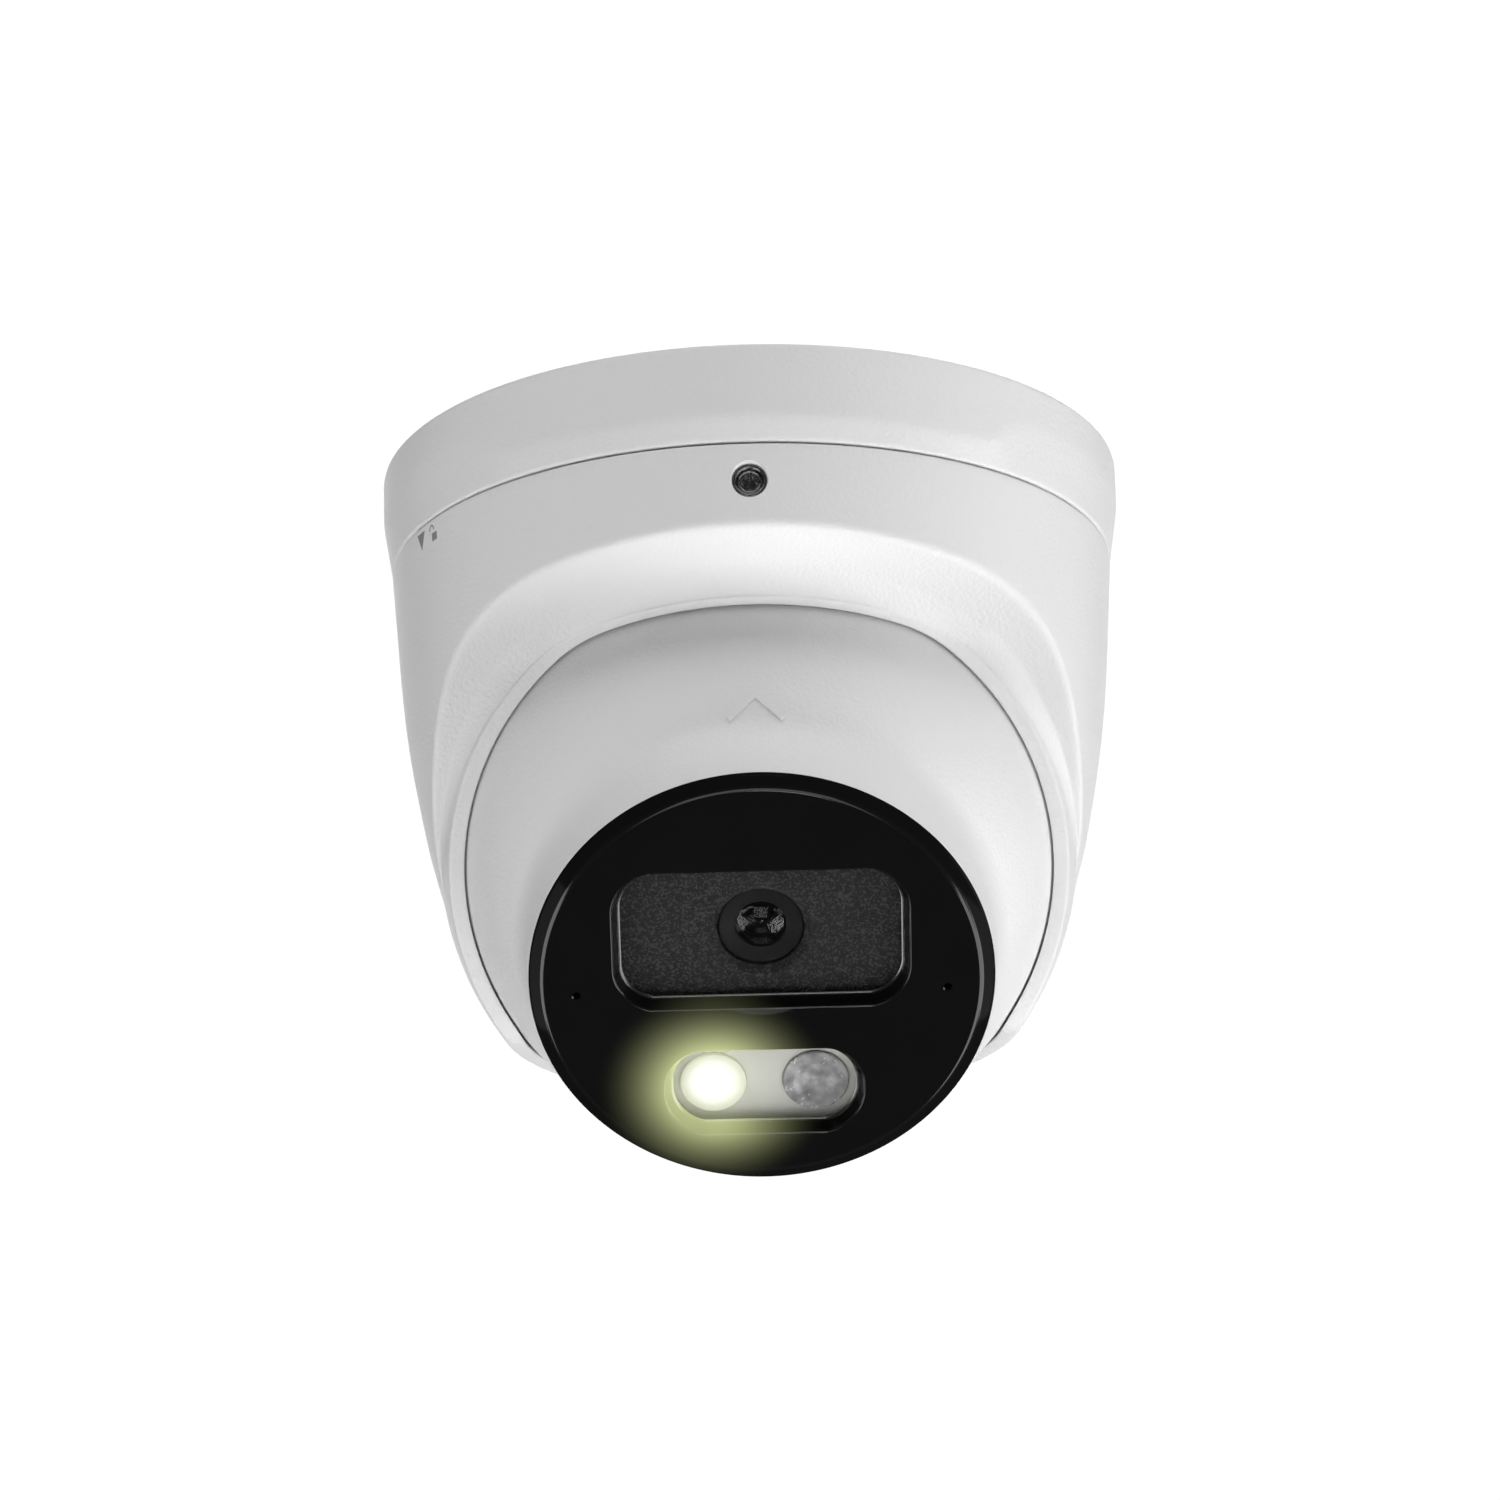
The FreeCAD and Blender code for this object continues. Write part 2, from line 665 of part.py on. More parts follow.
def ball_clamp():
    """The ring that holds the ball up in its collar, with the slotted guide for the tilt."""
    low = dim.clamp_top + dim.clamp_thick
    plate = rod(dim.clamp_outer, dim.clamp_thick, point(0, 0, -low))
    lip = rod(39.0, 5.5, point(0, 0, -dim.clamp_top - 5.5))
    seat = globe(dim.ball_radius + dim.ball_gap, BALL_CENTRE)
    back_gap = block(point(0, 40, -dim.clamp_top), (dim.guide_width, 60.0, 20.0))
    front_notch = block(point(0, -56, -dim.clamp_top), (17.0, 14.0, 12.0))
    ring = minus(group(plate, lip), seat, back_gap, front_notch)
    arch = guide_sector(dim.guide_radius, dim.guide_width, -46.0, 79.5)
    inner = rod(dim.ball_radius + dim.ball_gap, 20.0, BALL_CENTRE - Vector(10, 0, 0), ACROSS)
    stop = math.degrees(dim.lug_radius.value / dim.guide_radius.value) + 0.6
    slot = guide_sector(70.0, dim.slot_width, -stop, dim.tilt_most.value + stop)
    holes = []
    screws = []
    for number in range(4):
        start = polar(dim.clamp_bolt_radius, 45 + 90 * number, -low)
        holes.append(rod(1.6, dim.clamp_thick, start))
        head = rod(2.6, 1.8, start + Vector(0, 0, dim.clamp_thick.value))
        shank = rod(1.4, 7.0, start - Vector(0, 0, 5.0))
        slot_middle = start + Vector(0, 0, dim.clamp_thick.value + 1.5)
        cross = [block(slot_middle, (3.0, 0.7, 0.8)), block(slot_middle, (0.7, 3.0, 0.8))]
        screws.append(minus(group(head, shank), *cross))
    arch_shell = minus(arch, inner)
    keep("ball_clamp", minus(group(ring, arch_shell), slot, *holes))
    keep("clamp_screws", loose_group(*screws))
    ring_high = dim.clamp_top + 5.6
    ring_low = ring_high + 2.0
    pad = turned([(37.1, -ring_high), (40.4, -ring_high), (40.4, -ring_low), (38.9, -ring_low)])
    gap = block(point(0, 40, -ring_high), (dim.guide_width + 2.0, 60.0, 20.0))
    keep("ball_friction_ring", minus(pad, gap))


def guide_sector(radius, width, first, last):
    """A sector across X about the ball's centre, from one angle behind the zenith to another."""
    made = rod(radius, width, BALL_CENTRE, sweep=last - first)
    lay = FreeCAD.Rotation(UP, ACROSS)
    # The laid cylinder's sweep starts from -Z and runs by +Y to +Z, so it is turned to its first angle.
    start_at = FreeCAD.Rotation(ACROSS, 180.0 - last)
    made.Placement.Rotation = start_at.multiply(lay)
    half = as_size(width).value / 2
    made.Placement.Base = BALL_CENTRE - Vector(half, 0, 0)
    return made


# The tilt slider, which carries the ball's journal


def tilt_slider():
    outer = dim.ball_radius
    front = dim.rear_flat - 0.3
    bore = dim.journal_radius + 0.05
    rim = on_sphere(outer, front)
    cap_top = -(outer - 1.2)
    clip_room = 12.9
    corners = [
        (bore, front),
        (rim, front),
        (on_sphere(outer, cap_top), cap_top),
        (lug_inner(), cap_top),
        (lug_inner(), cap_top + 0.9),
        (clip_room, cap_top + 0.9),
        (clip_room, -44.6),
        (bore, -44.6),
    ]
    dish = turned(corners, arcs=(1,))
    lug_length = 3.2
    lug = rod(dim.lug_radius, lug_length, point(0, 0, cap_top - lug_length + 0.3))
    hole = rod(lug_inner(), 12.0, point(0, 0, cap_top - 6.0))
    keep("tilt_slider", minus(group(dish, lug), hole), BALL)


def lug_inner():
    return dim.lug_radius - 0.9


# Ball shells


def shell_outline_inner():
    return dim.ball_radius - 2.6


def shell_bosses(low, high):
    """Four pillars for the shell screws, inside the ball."""
    length = high - low
    pillars = []
    for number in range(4):
        pillars.append(rod(3.2, length, polar(43.8, 45 + 90 * number, low)))
    return [overlap(group(*pillars), globe(dim.ball_radius - 0.6))]


def service_box(margin, deep):
    """The service door's block, on the underside of the ball."""
    middle = point(0, -44.0, dim.service_axis)
    return block(middle, (dim.service_width + margin, deep, dim.service_height + margin))


def front_shell():
    inner = shell_outline_inner()
    corners = [
        (on_sphere(dim.ball_radius, dim.shell_split), dim.shell_split),
        (on_sphere(dim.ball_radius, dim.neck_root), dim.neck_root),
        (dim.neck_radius, dim.neck_front),
        (dim.neck_bore, dim.neck_front),
        (dim.neck_bore, on_sphere(inner, dim.neck_bore)),
        (on_sphere(inner, dim.shell_split), dim.shell_split),
    ]
    body = turned(corners, arcs=(0, 4))
    bosses = shell_bosses(dim.shell_split, dim.shell_split + 11.0)
    groove = seal_ring(48.0, 0.8, point(0, 0, dim.shell_split))
    holes = [rod(1.2, 9.0, polar(43.8, 45 + 90 * n, dim.shell_split)) for n in range(4)]
    door_seat = minus(service_box(0.4, 20.0), globe(dim.ball_radius - 1.4))
    door_hole = service_box(-5.0, 20.0)
    door_screws = [rod(0.8, 6.0, place, DEEP) for place in service_screw_places()]
    tools = [groove, door_seat, door_hole, *holes, *door_screws]
    shell = minus(group(body, *bosses), *tools)
    keep("front_shell", group(shell, up_arrow()), BALL)


def up_arrow():
    """A raised chevron of two bars, on the side of the ball that faces up."""
    height = 0.35
    skin = minus(globe(dim.ball_radius + height), globe(dim.ball_radius - 0.8))
    bars = []
    for side in (-1, 1):
        bar = block(Vector(), (6.4, 20.0, 1.1))
        lean = FreeCAD.Rotation(DEEP, -side * 38)
        middle = point(side * 2.2, 40.2, 28.2)
        corner = lean.multVec(Vector(-3.2, -10.0, -0.55))
        bar.Placement = FreeCAD.Placement(middle + corner, lean)
        bars.append(bar)
    return overlap(skin, group(*bars))


def rear_shell():
    inner = shell_outline_inner()
    floor = dim.rear_flat + 2.5
    gland = dim.cable_bore + 1.6
    corners = [
        (on_sphere(dim.ball_radius, dim.shell_split), dim.shell_split),
        (on_sphere(inner, dim.shell_split), dim.shell_split),
        (on_sphere(inner, floor), floor),
        (gland, floor),
        (gland, dim.journal_end),
        (dim.journal_radius, dim.journal_end),
        (dim.journal_radius, dim.rear_flat),
        (on_sphere(dim.ball_radius, dim.rear_flat), dim.rear_flat),
    ]
    body = turned(corners, arcs=(1, 7))
    head_seat = -15.0
    bosses = shell_bosses(head_seat - 3.0, dim.shell_split)
    groove = seal_ring(48.0, 0.8, point(0, 0, dim.shell_split))
    groove_start = point(0, 0, dim.journal_end + 0.2)
    clip_groove = tube(dim.journal_radius, dim.journal_radius - 0.6, 0.8, groove_start)
    tools = [groove, clip_groove]
    screws = []
    for number in range(4):
        seat = polar(43.8, 45 + 90 * number, head_seat)
        tools.append(rod(1.4, 12.0, seat))
        tools.append(rod(2.7, 14.0, seat, -UP))
        head = rod(2.3, 1.6, seat - Vector(0, 0, 1.6))
        drive = seat - Vector(0, 0, 1.3)
        cross = [block(drive, (2.6, 0.6, 0.8)), block(drive, (0.6, 2.6, 0.8))]
        screws.append(minus(group(head, rod(1.15, 17.5, seat)), *cross))
    keep("rear_shell", minus(group(body, *bosses), *tools), BALL)
    keep("shell_screws", loose_group(*screws), BALL)
    keep("shell_seal", seal_ring(48.0, 0.75, point(0, 0, dim.shell_split)), BALL)
    clip_start = point(0, 0, dim.journal_end + 0.25)
    clip = tube(dim.journal_radius + 2.4, dim.journal_radius - 0.55, 0.7, clip_start)
    clip_gap = block(point(10, 0, dim.journal_end), (8.0, 5.0, 4.0))
    keep("slider_clip", minus(clip, clip_gap), BALL)
    gland_ring = tube(gland - 0.05, dim.cable_bore, 9.5, point(0, 0, dim.journal_end + 0.2))
    gland_flange = tube(gland + 1.6, dim.cable_bore, 1.5, point(0, 0, floor))
    keep("cable_gland", group(gland_ring, gland_flange), BALL)


# Service door under the ball, with the card slot and the reset button behind it


def service_screw_places():
    reach = dim.service_width.value / 2 - 1.9
    return [point(side * reach, -47.0, dim.service_axis) for side in (-1, 1)]


def service_door():
    skin = minus(globe(dim.ball_radius), globe(dim.ball_radius - 1.2))
    door = overlap(skin, service_box(0.0, 20.0))
    sunk = 0.35
    holes = []
    screws = []
    for place in service_screw_places():
        holes.append(rod(0.9, 12.0, place - Vector(0, 6, 0), DEEP))
        surface = math.sqrt(dim.ball_radius.value**2 - place.x**2 - place.z**2)
        start = Vector(place.x, sunk - surface, place.z)
        holes.append(rod(1.7, 3.0, start + Vector(0, 0.4, 0), -DEEP))
        head = rod(1.6, 0.4, start, DEEP)
        shank = rod(0.75, 4.2, start, DEEP)
        slot = block(start, (2.0, 0.4, 0.4))
        screws.append(minus(group(head, shank), slot))
    keep("service_cover", minus(door, *holes), BALL)
    keep("service_screws", loose_group(*screws), BALL)
    frame_middle = point(0, -42.2, dim.service_axis)
    frame_outer = block(frame_middle, (18.6, 1.2, dim.service_height - 6.0))
    frame_inner = block(frame_middle, (16.6, 2.0, dim.service_height - 8.0))
    keep("service_gasket", minus(frame_outer, frame_inner), BALL)
    board = block(point(0, -35.0, dim.service_axis), (28.0, dim.board_thick, 15.0))
    keep("service_board", board, BALL)
    board_face = -35.8
    socket_middle = point(-4.0, board_face - 0.9, dim.service_axis)
    socket_outer = block(socket_middle, (14.0, 1.8, 12.0))
    card_space = block(socket_middle + Vector(0, 0, 3.0), (11.6, 0.9, 12.0))
    keep("card_socket", minus(socket_outer, card_space), BALL)
    switch_place = point(8.5, board_face, dim.service_axis)
    switch_middle = switch_place - Vector(0, 1.0, 0)
    switch_bore = rod(1.2, 3.0, switch_middle, -DEEP)
    keep("reset_switch", minus(block(switch_middle, (4.5, 2.0, 4.5)), switch_bore), BALL)
    button_start = switch_middle - DEEP * dim.button_travel.value
    keep("reset_button", rod(1.15, 2.0, button_start, -DEEP), BALL)


# Black face with its two windows


def face_cover():
    back = dim.face_front - dim.face_thick
    spigot = dim.neck_bore - 0.2
    spigot_end = back - 1.5
    corners = [
        (0.0, dim.face_front),
        (dim.face_flat_radius, dim.face_front),
        (dim.neck_radius, dim.neck_front),
        (spigot, dim.neck_front),
        (spigot, spigot_end),
        (spigot - 2.0, spigot_end),
        (spigot - 2.0, back),
        (0.0, back),
    ]
    disc = turned(corners)
    deep = dim.face_thick
    windows = []
    for width, height, middle_height in (
        (dim.lens_window_width, dim.lens_window_height, dim.lens_height),
        (dim.light_window_width, dim.light_window_height, dim.light_height),
    ):
        lean = dim.window_draft
        plug = tapered_plug(width, height, dim.window_corner, lean, dim.face_front, deep, middle_height)
        windows.append(plug)
    holes = []
    for side in (-1, 1):
        start = point(dim.microphone_spacing * side, dim.microphone_height, back - 0.5)
        holes.append(rod(dim.microphone_hole, dim.face_thick + 1.0, start))
    keep("face_cover", minus(disc, *windows, *holes), BALL)
    gasket = tube(spigot - 0.15, spigot - 1.9, 1.0, point(0, 0, spigot_end - 1.1))
    keep("face_gasket", gasket, BALL)
    inset = dim.window_draft * 2 - 1.2
    pane_middle = back - dim.pane_thick / 2
    for label, width, height, middle_height in (
        ("lens_window", dim.lens_window_width, dim.lens_window_height, dim.lens_height),
        ("light_window", dim.light_window_width, dim.light_window_height, dim.light_height),
    ):
        middle = point(0, middle_height, pane_middle)
        bend = dim.window_corner - 0.5
        pane = rounded_plate(width - inset, height - inset, bend, dim.pane_thick, middle)
        keep(label, pane, BALL)


# Lens and image sensor


def lens_at(axial):
    return point(0, dim.lens_height, axial)


def lens_turned(label, corners, arcs=()):
    """A part of the lens, turned about the lens's own axis."""
    body = turned(corners, arcs)
    body.Placement.Base = lens_at(0)
    keep(label, body, BALL)


def lens_parts():
    front = dim.lens_front
    thread = dim.lens_thread_radius
    mask_front = dim.face_front - dim.face_thick - dim.pane_thick - 0.2
    mask_middle = lens_at(mask_front - 0.7)
    mask = rounded_plate(45.0, 25.0, 5.0, 1.4, mask_middle)
    mask_hole = rod(7.2, 4.0, lens_at(mask_front - 3.0))
    keep("lens_mask", minus(mask, mask_hole), BALL)
    flange_back = front - 1.4
    lens_turned("lens_barrel", [
        (4.1, front - 0.7),
        (4.6, front),
        (dim.lens_flange_radius, front),
        (dim.lens_flange_radius, flange_back),
        (thread, flange_back),
        (thread, 20.0),
        (3.6, 20.0),
        (3.6, 30.0),
        (4.1, 30.0),
    ])
    lens_turned("front_lens", [
        (0.0, front - 0.2),
        (4.0, front - 1.4),
        (4.0, front - 3.6),
        (0.0, front - 3.0),
    ], arcs=(0,))
    lens_turned("rear_lens_group", [(0.0, 22.0), (3.5, 22.0), (3.5, 29.0), (0.0, 29.6)])
    keep("lens_lock_ring", tube(8.4, thread + 0.05, 2.2, lens_at(29.4)), BALL)
    foam = tube(9.2, 7.4, 4.0, lens_at(mask_front - 5.6))
    keep("lens_foam_ring", foam, BALL)
    holder_base = block(lens_at(13.0), (21.0, 21.0, 6.8))
    tower = rod(8.4, 13.2, lens_at(16.0))
    cavity = block(lens_at(12.4), (17.0, 17.0, 5.6))
    bore = rod(thread + 0.05, 20.0, lens_at(14.0))
    keep("lens_holder", minus(group(holder_base, tower), cavity, bore), BALL)
    filter_middle = lens_at(13.2)
    filter_frame = minus(block(filter_middle, (15.0, 13.0, 2.0)), rod(3.2, 4.0, lens_at(11.0)))
    keep("ir_cut_filter", filter_frame, BALL)
    board_front = dim.sensor_plane - 1.4
    keep("image_sensor", block(lens_at(board_front + 0.7), (12.0, 9.0, 1.4)), BALL)
    board_middle = lens_at(board_front - dim.board_thick / 2)
    keep("sensor_board", block(board_middle, (38.0, 32.0, dim.board_thick)), BALL)


# Lights and microphones


def light_parts():
    board_front = 35.0
    middle = point(0, dim.light_height, board_front - dim.board_thick / 2)
    keep("light_board", block(middle, (34.0, 15.0, dim.board_thick)), BALL)
    sink_front = board_front - dim.board_thick
    sink = block(point(0, dim.light_height, sink_front - 1.5), (32.0, 13.0, 3.0))
    fins = []
    for x in range(-14, 15, 4):
        fins.append(block(point(x, dim.light_height, sink_front - 5.0), (1.6, 11.0, 4.4)))
    keep("light_heat_sink", group(sink, *fins), BALL)
    holes = []
    tray_front = 40.2
    for label, side in (("white", -1), ("infrared", 1)):
        x = dim.light_spacing * side
        chip = block(point(x, dim.light_height, board_front + 0.5), (5.0, 5.0, 1.0))
        keep(label + "_led", chip, BALL)
        cup = turned([(0.0, 36.2), (2.4, 36.2), (5.3, tray_front + 0.3), (0.0, tray_front + 0.5)])
        cup.Placement.Base = point(x, dim.light_height, 0)
        keep(label + "_led_lens", cup, BALL)
        hole = turned([(0.0, 35.0), (2.7, 36.0), (5.75, tray_front + 0.6), (0.0, tray_front + 0.6)])
        hole.Placement.Base = point(x, dim.light_height, 0)
        holes.append(hole)
    tray_middle = point(0, dim.light_height, tray_front - 1.9)
    tray = rounded_plate(29.6, 14.2, 5.0, 3.8, tray_middle)
    keep("light_tray", minus(tray, *holes), BALL)


def microphones():
    for label, side in (("left", -1), ("right", 1)):
        x = dim.microphone_spacing * side
        top = dim.face_front - dim.face_thick
        boot = rod(2.4, 4.2, point(x, dim.microphone_height, top - 4.2))
        pocket = rod(1.7, 3.0, point(x, dim.microphone_height, top - 4.2))
        channel = rod(dim.microphone_hole, 6.0, point(x, dim.microphone_height, top - 5.0))
        keep("microphone_boot_" + label, minus(boot, pocket, channel), BALL)
        capsule = rod(1.65, 1.8, point(x, dim.microphone_height, top - 3.2))
        keep("microphone_" + label, capsule, BALL)


# Chassis and circuit boards


def pillar_places(z):
    return [polar(31.0, 45 + 90 * number, z) for number in range(4)]


def electronics():
    plate_top = 4.0
    plate_thick = 2.0
    plate = rod(dim.chassis_radius, plate_thick, point(0, 0, plate_top - plate_thick))
    window = block(point(0, -28, plate_top), (20.0, 8.0, 8.0))
    plate_holes = [rod(1.3, 8.0, place) for place in pillar_places(0)]
    keep("chassis_plate", minus(plate, window, *plate_holes), BALL)
    board_top = -6.4
    gap = plate_top - plate_thick - board_top
    pillars = []
    for place in pillar_places(board_top):
        pillars.append(minus(rod(2.4, gap, place), rod(1.3, gap, place)))
    keep("board_pillars", loose_group(*pillars), BALL)
    board_start = point(0, 0, board_top - dim.board_thick.value)
    board = rod(dim.main_board_radius, dim.board_thick, board_start)
    board_holes = [rod(1.3, 8.0, place) for place in pillar_places(board_top - 4.0)]
    keep("main_board", minus(board, *board_holes), BALL)
    under = board_top - dim.board_thick.value
    screws = []
    for place in pillar_places(under):
        head = rod(2.1, 1.5, place - Vector(0, 0, 1.5))
        screws.append(group(head, rod(1.15, gap + 3.2, place)))
    keep("board_screws", loose_group(*screws), BALL)
    keep("processor", block(point(0, 0, board_top + 0.7), (15.0, 15.0, 1.4)), BALL)
    pad_height = plate_top - plate_thick - board_top - 1.4
    pad_low = board_top + 1.4
    block_height = pad_height - 1.0
    sink = block(point(0, 0, pad_low + 1.0 + block_height / 2), (18.0, 18.0, block_height))
    keep("processor_heat_sink", sink, BALL)
    keep("thermal_pad", block(point(0, 0, pad_low + 0.5), (14.0, 14.0, 1.0)), BALL)
    socket = block(point(0, 22.0, under - 2.6), (14.0, 6.0, 5.2))
    socket_hollow = block(point(0, 22.0, under - 4.0), (11.6, 4.0, 5.0))
    keep("cable_socket", minus(socket, socket_hollow), BALL)
    keep("network_transformer", block(point(-14.0, -10.0, under - 3.0), (12.0, 16.0, 6.0)), BALL)


def check_objects():
    doc.recompute()
    for item in doc.Objects:
        if "Invalid" in item.State or "Error" in item.State:
            raise RuntimeError("%s (%s) failed: %s" % (item.Name, item.Label, item.State))
    for part in parts:
        if part.Shape.isNull() or not part.Shape.isValid() or not part.Shape.Solids:
            raise RuntimeError(part.Label + " has no valid solid")


def main():
    mounting_base()
    pan_bearing()
    pan_ring()
    housing()
    locking_screw()
    ball_clamp()
    tilt_slider()
    front_shell()
    rear_shell()
    service_door()
    face_cover()
    lens_parts()
    light_parts()
    microphones()
    electronics()
    check_objects()
    os.makedirs("parts", exist_ok=True)
    for part in parts:
        part.Shape.exportStep(os.path.join("parts", part.Label + ".step"))
    print(len(parts), "parts written")


main()
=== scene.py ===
import bisect
import math

import bpy
from mathutils import Matrix, Vector


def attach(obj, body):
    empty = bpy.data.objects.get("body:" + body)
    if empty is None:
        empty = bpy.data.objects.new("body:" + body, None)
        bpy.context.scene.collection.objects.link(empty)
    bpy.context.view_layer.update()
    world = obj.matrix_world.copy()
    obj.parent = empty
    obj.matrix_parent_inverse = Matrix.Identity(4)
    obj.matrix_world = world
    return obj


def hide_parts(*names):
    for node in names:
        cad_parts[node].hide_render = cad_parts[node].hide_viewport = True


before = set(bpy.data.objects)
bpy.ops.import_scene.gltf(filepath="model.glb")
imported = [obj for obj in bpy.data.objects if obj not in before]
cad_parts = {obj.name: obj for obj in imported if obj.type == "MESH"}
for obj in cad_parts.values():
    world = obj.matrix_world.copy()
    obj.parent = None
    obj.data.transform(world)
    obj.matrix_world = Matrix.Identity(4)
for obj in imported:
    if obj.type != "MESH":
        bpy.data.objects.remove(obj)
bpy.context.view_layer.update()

# A ceiling turret camera: a painted base, a painted housing that pans, and a ball that carries
# the lens, the lights and the microphones behind a glossy black face. Sizes below are in
# millimetres and degrees. The ball's own frame has its Z along the lens axis.

MM = 0.001
BALL_DROP = 63.7
BALL_RADIUS = 49.5
BALL = Matrix.Translation((0, 0, -BALL_DROP * MM)) @ Matrix.Rotation(math.radians(137), 4, "X")
SCREW_LINE = Matrix.Translation((0, 0, -22.5 * MM)) @ Matrix.Rotation(math.radians(90), 4, "X")
WORLD = Matrix.Identity(4)
FRONT_AZIMUTH = -90.0


# Making pieces


def nothing_selected():
    if bpy.context.mode != "OBJECT":
        bpy.ops.object.mode_set(mode="OBJECT")
    bpy.ops.object.select_all(action="DESELECT")


def work_on(piece):
    nothing_selected()
    piece.select_set(True)
    bpy.context.view_layer.objects.active = piece


def named(name):
    piece = bpy.context.active_object
    piece.name = name
    piece.data.name = name
    return piece


def bend_points(before, corner, after, steps):
    """A soft bend from before to after, drawn towards the corner."""
    shares = [step / steps for step in range(steps + 1)]
    return [before * (1 - t) ** 2 + corner * 2 * t * (1 - t) + after * t**2 for t in shares]


def soft(corners, steps):
    """A closed outline of (radius, height, bend) corners, each bend made a short arc."""
    points = []
    for number, (x, z, bend) in enumerate(corners):
        here = Vector((x, z))
        if not bend:
            points.append(here)
            continue
        before = Vector(corners[number - 1][:2]) - here
        after = Vector(corners[(number + 1) % len(corners)][:2]) - here
        half = before.angle(after) / 2
        back = min(bend / math.tan(half), before.length * 0.45, after.length * 0.45)
        first = here + before.normalized() * back
        last = here + after.normalized() * back
        points += bend_points(first, here, last, steps)
    return points


def on_globe(radius, height):
    return math.sqrt(radius**2 - height**2)


def arc_side(radius, first, last, steps):
    """Points on a sphere's outline between two heights above its centre."""
    start = math.asin(first / radius)
    end = math.asin(last / radius)
    angles = [start + (end - start) * step / steps for step in range(steps + 1)]
    return [(radius * math.cos(angle), radius * math.sin(angle)) for angle in angles]


def face_outward(piece):
    work_on(piece)
    bpy.ops.object.mode_set(mode="EDIT")
    bpy.ops.mesh.select_all(action="SELECT")
    bpy.ops.mesh.normals_make_consistent(inside=False)
    bpy.ops.object.mode_set(mode="OBJECT")


def spun(name, points, turns):
    """A ring or a disc: its outline drawn point by point, then spun round Z."""
    nothing_selected()
    bpy.ops.mesh.primitive_plane_add(size=MM)
    piece = named(name)
    bpy.ops.object.mode_set(mode="EDIT")
    bpy.ops.mesh.select_mode(type="VERT")
    bpy.ops.mesh.select_all(action="SELECT")
    bpy.ops.mesh.merge(type="CENTER")
    places = [Vector((x * MM, 0, z * MM)) for x, z in points]
    bpy.ops.transform.translate(value=places[0])
    for here, there in zip(places, places[1:]):
        bpy.ops.mesh.extrude_region_move(TRANSFORM_OT_translate={"value": there - here})
    bpy.ops.mesh.select_all(action="SELECT")
    is_disc = points[0][0] == 0 and points[-1][0] == 0
    if not is_disc:
        bpy.ops.object.mode_set(mode="OBJECT")
        for number, vertex in enumerate(piece.data.vertices):
            vertex.select = number in (0, len(places) - 1)
        for edge in piece.data.edges:
            edge.select = False
        bpy.ops.object.mode_set(mode="EDIT")
        bpy.ops.mesh.select_mode(type="VERT")
        bpy.ops.mesh.edge_face_add()
        bpy.ops.mesh.select_all(action="SELECT")
    bpy.ops.mesh.spin(steps=turns, angle=math.tau, center=(0, 0, 0), axis=(0, 0, 1))
    bpy.ops.mesh.select_all(action="SELECT")
    bpy.ops.mesh.remove_doubles(threshold=0.002 * MM)
    bpy.ops.mesh.normals_make_consistent(inside=False)
    bpy.ops.object.mode_set(mode="OBJECT")
    return piece


def curtain(name, rows, place, turns):
    """A closed skin round Z: an even ladder is spun, then each rung goes to place(azimuth)[row]."""
    ladder = 60
    piece = spun(name, [(ladder, -row) for row in range(rows)], turns)
    for vertex in piece.data.vertices:
        row = round(-vertex.co.z / MM)
        azimuth = math.atan2(vertex.co.y, vertex.co.x)
        radius, height = place(azimuth)[row]
        vertex.co = Vector((radius * math.cos(azimuth), radius * math.sin(azimuth), height)) * MM
    face_outward(piece)
    return piece


def block(name, middle, lengths, turn=(0, 0, 0)):
    nothing_selected()
    bpy.ops.mesh.primitive_cube_add(size=1, location=Vector(middle) * MM, rotation=turn)
    piece = named(name)
    piece.scale = Vector(lengths) * MM
    bpy.ops.object.transform_apply(location=True, rotation=True, scale=True)
    return piece


def rod(name, radius, low, high, middle=(0, 0), sides=96, flare=0.0):
    """A rod along Z between two heights, its upper end opened out by a flare at 45 degrees."""
    nothing_selected()
    centre = Vector((middle[0], middle[1], (low + high) / 2)) * MM
    length = (high - low) * MM
    bpy.ops.mesh.primitive_cylinder_add(vertices=sides, radius=radius * MM, depth=length, location=centre)
    piece = named(name)
    bpy.ops.object.transform_apply(location=True, rotation=True, scale=True)
    if flare:
        choose_faces(piece, lambda face: face.normal.z > 0.9)
        bpy.ops.mesh.extrude_region_move(TRANSFORM_OT_translate={"value": (0, 0, 2 * flare * MM)})
        share = (radius + 2 * flare) / radius
        bpy.ops.transform.resize(value=(share, share, 1), center_override=centre)
        bpy.ops.object.mode_set(mode="OBJECT")
    return piece


def choose_faces(piece, wanted):
    """Goes to edit mode with only the wanted faces selected."""
    work_on(piece)
    bpy.ops.object.mode_set(mode="EDIT")
    bpy.ops.mesh.select_mode(type="FACE")
    bpy.ops.mesh.select_all(action="DESELECT")
    bpy.ops.object.mode_set(mode="OBJECT")
    for face in piece.data.polygons:
        face.select = wanted(face)
    bpy.ops.object.mode_set(mode="EDIT")


def cut(piece, *tools, how="DIFFERENCE"):
    for tool in tools:
        change = piece.modifiers.new("cut", "BOOLEAN")
        change.operation = how
        change.solver = "EXACT"
        change.object = tool
        work_on(piece)
        bpy.ops.object.modifier_apply(modifier=change.name)
        bpy.data.objects.remove(tool)
    return piece


def moved(piece, matrix):
    work_on(piece)
    piece.matrix_world = matrix
    bpy.ops.object.transform_apply(location=True, rotation=True, scale=True)
    return piece


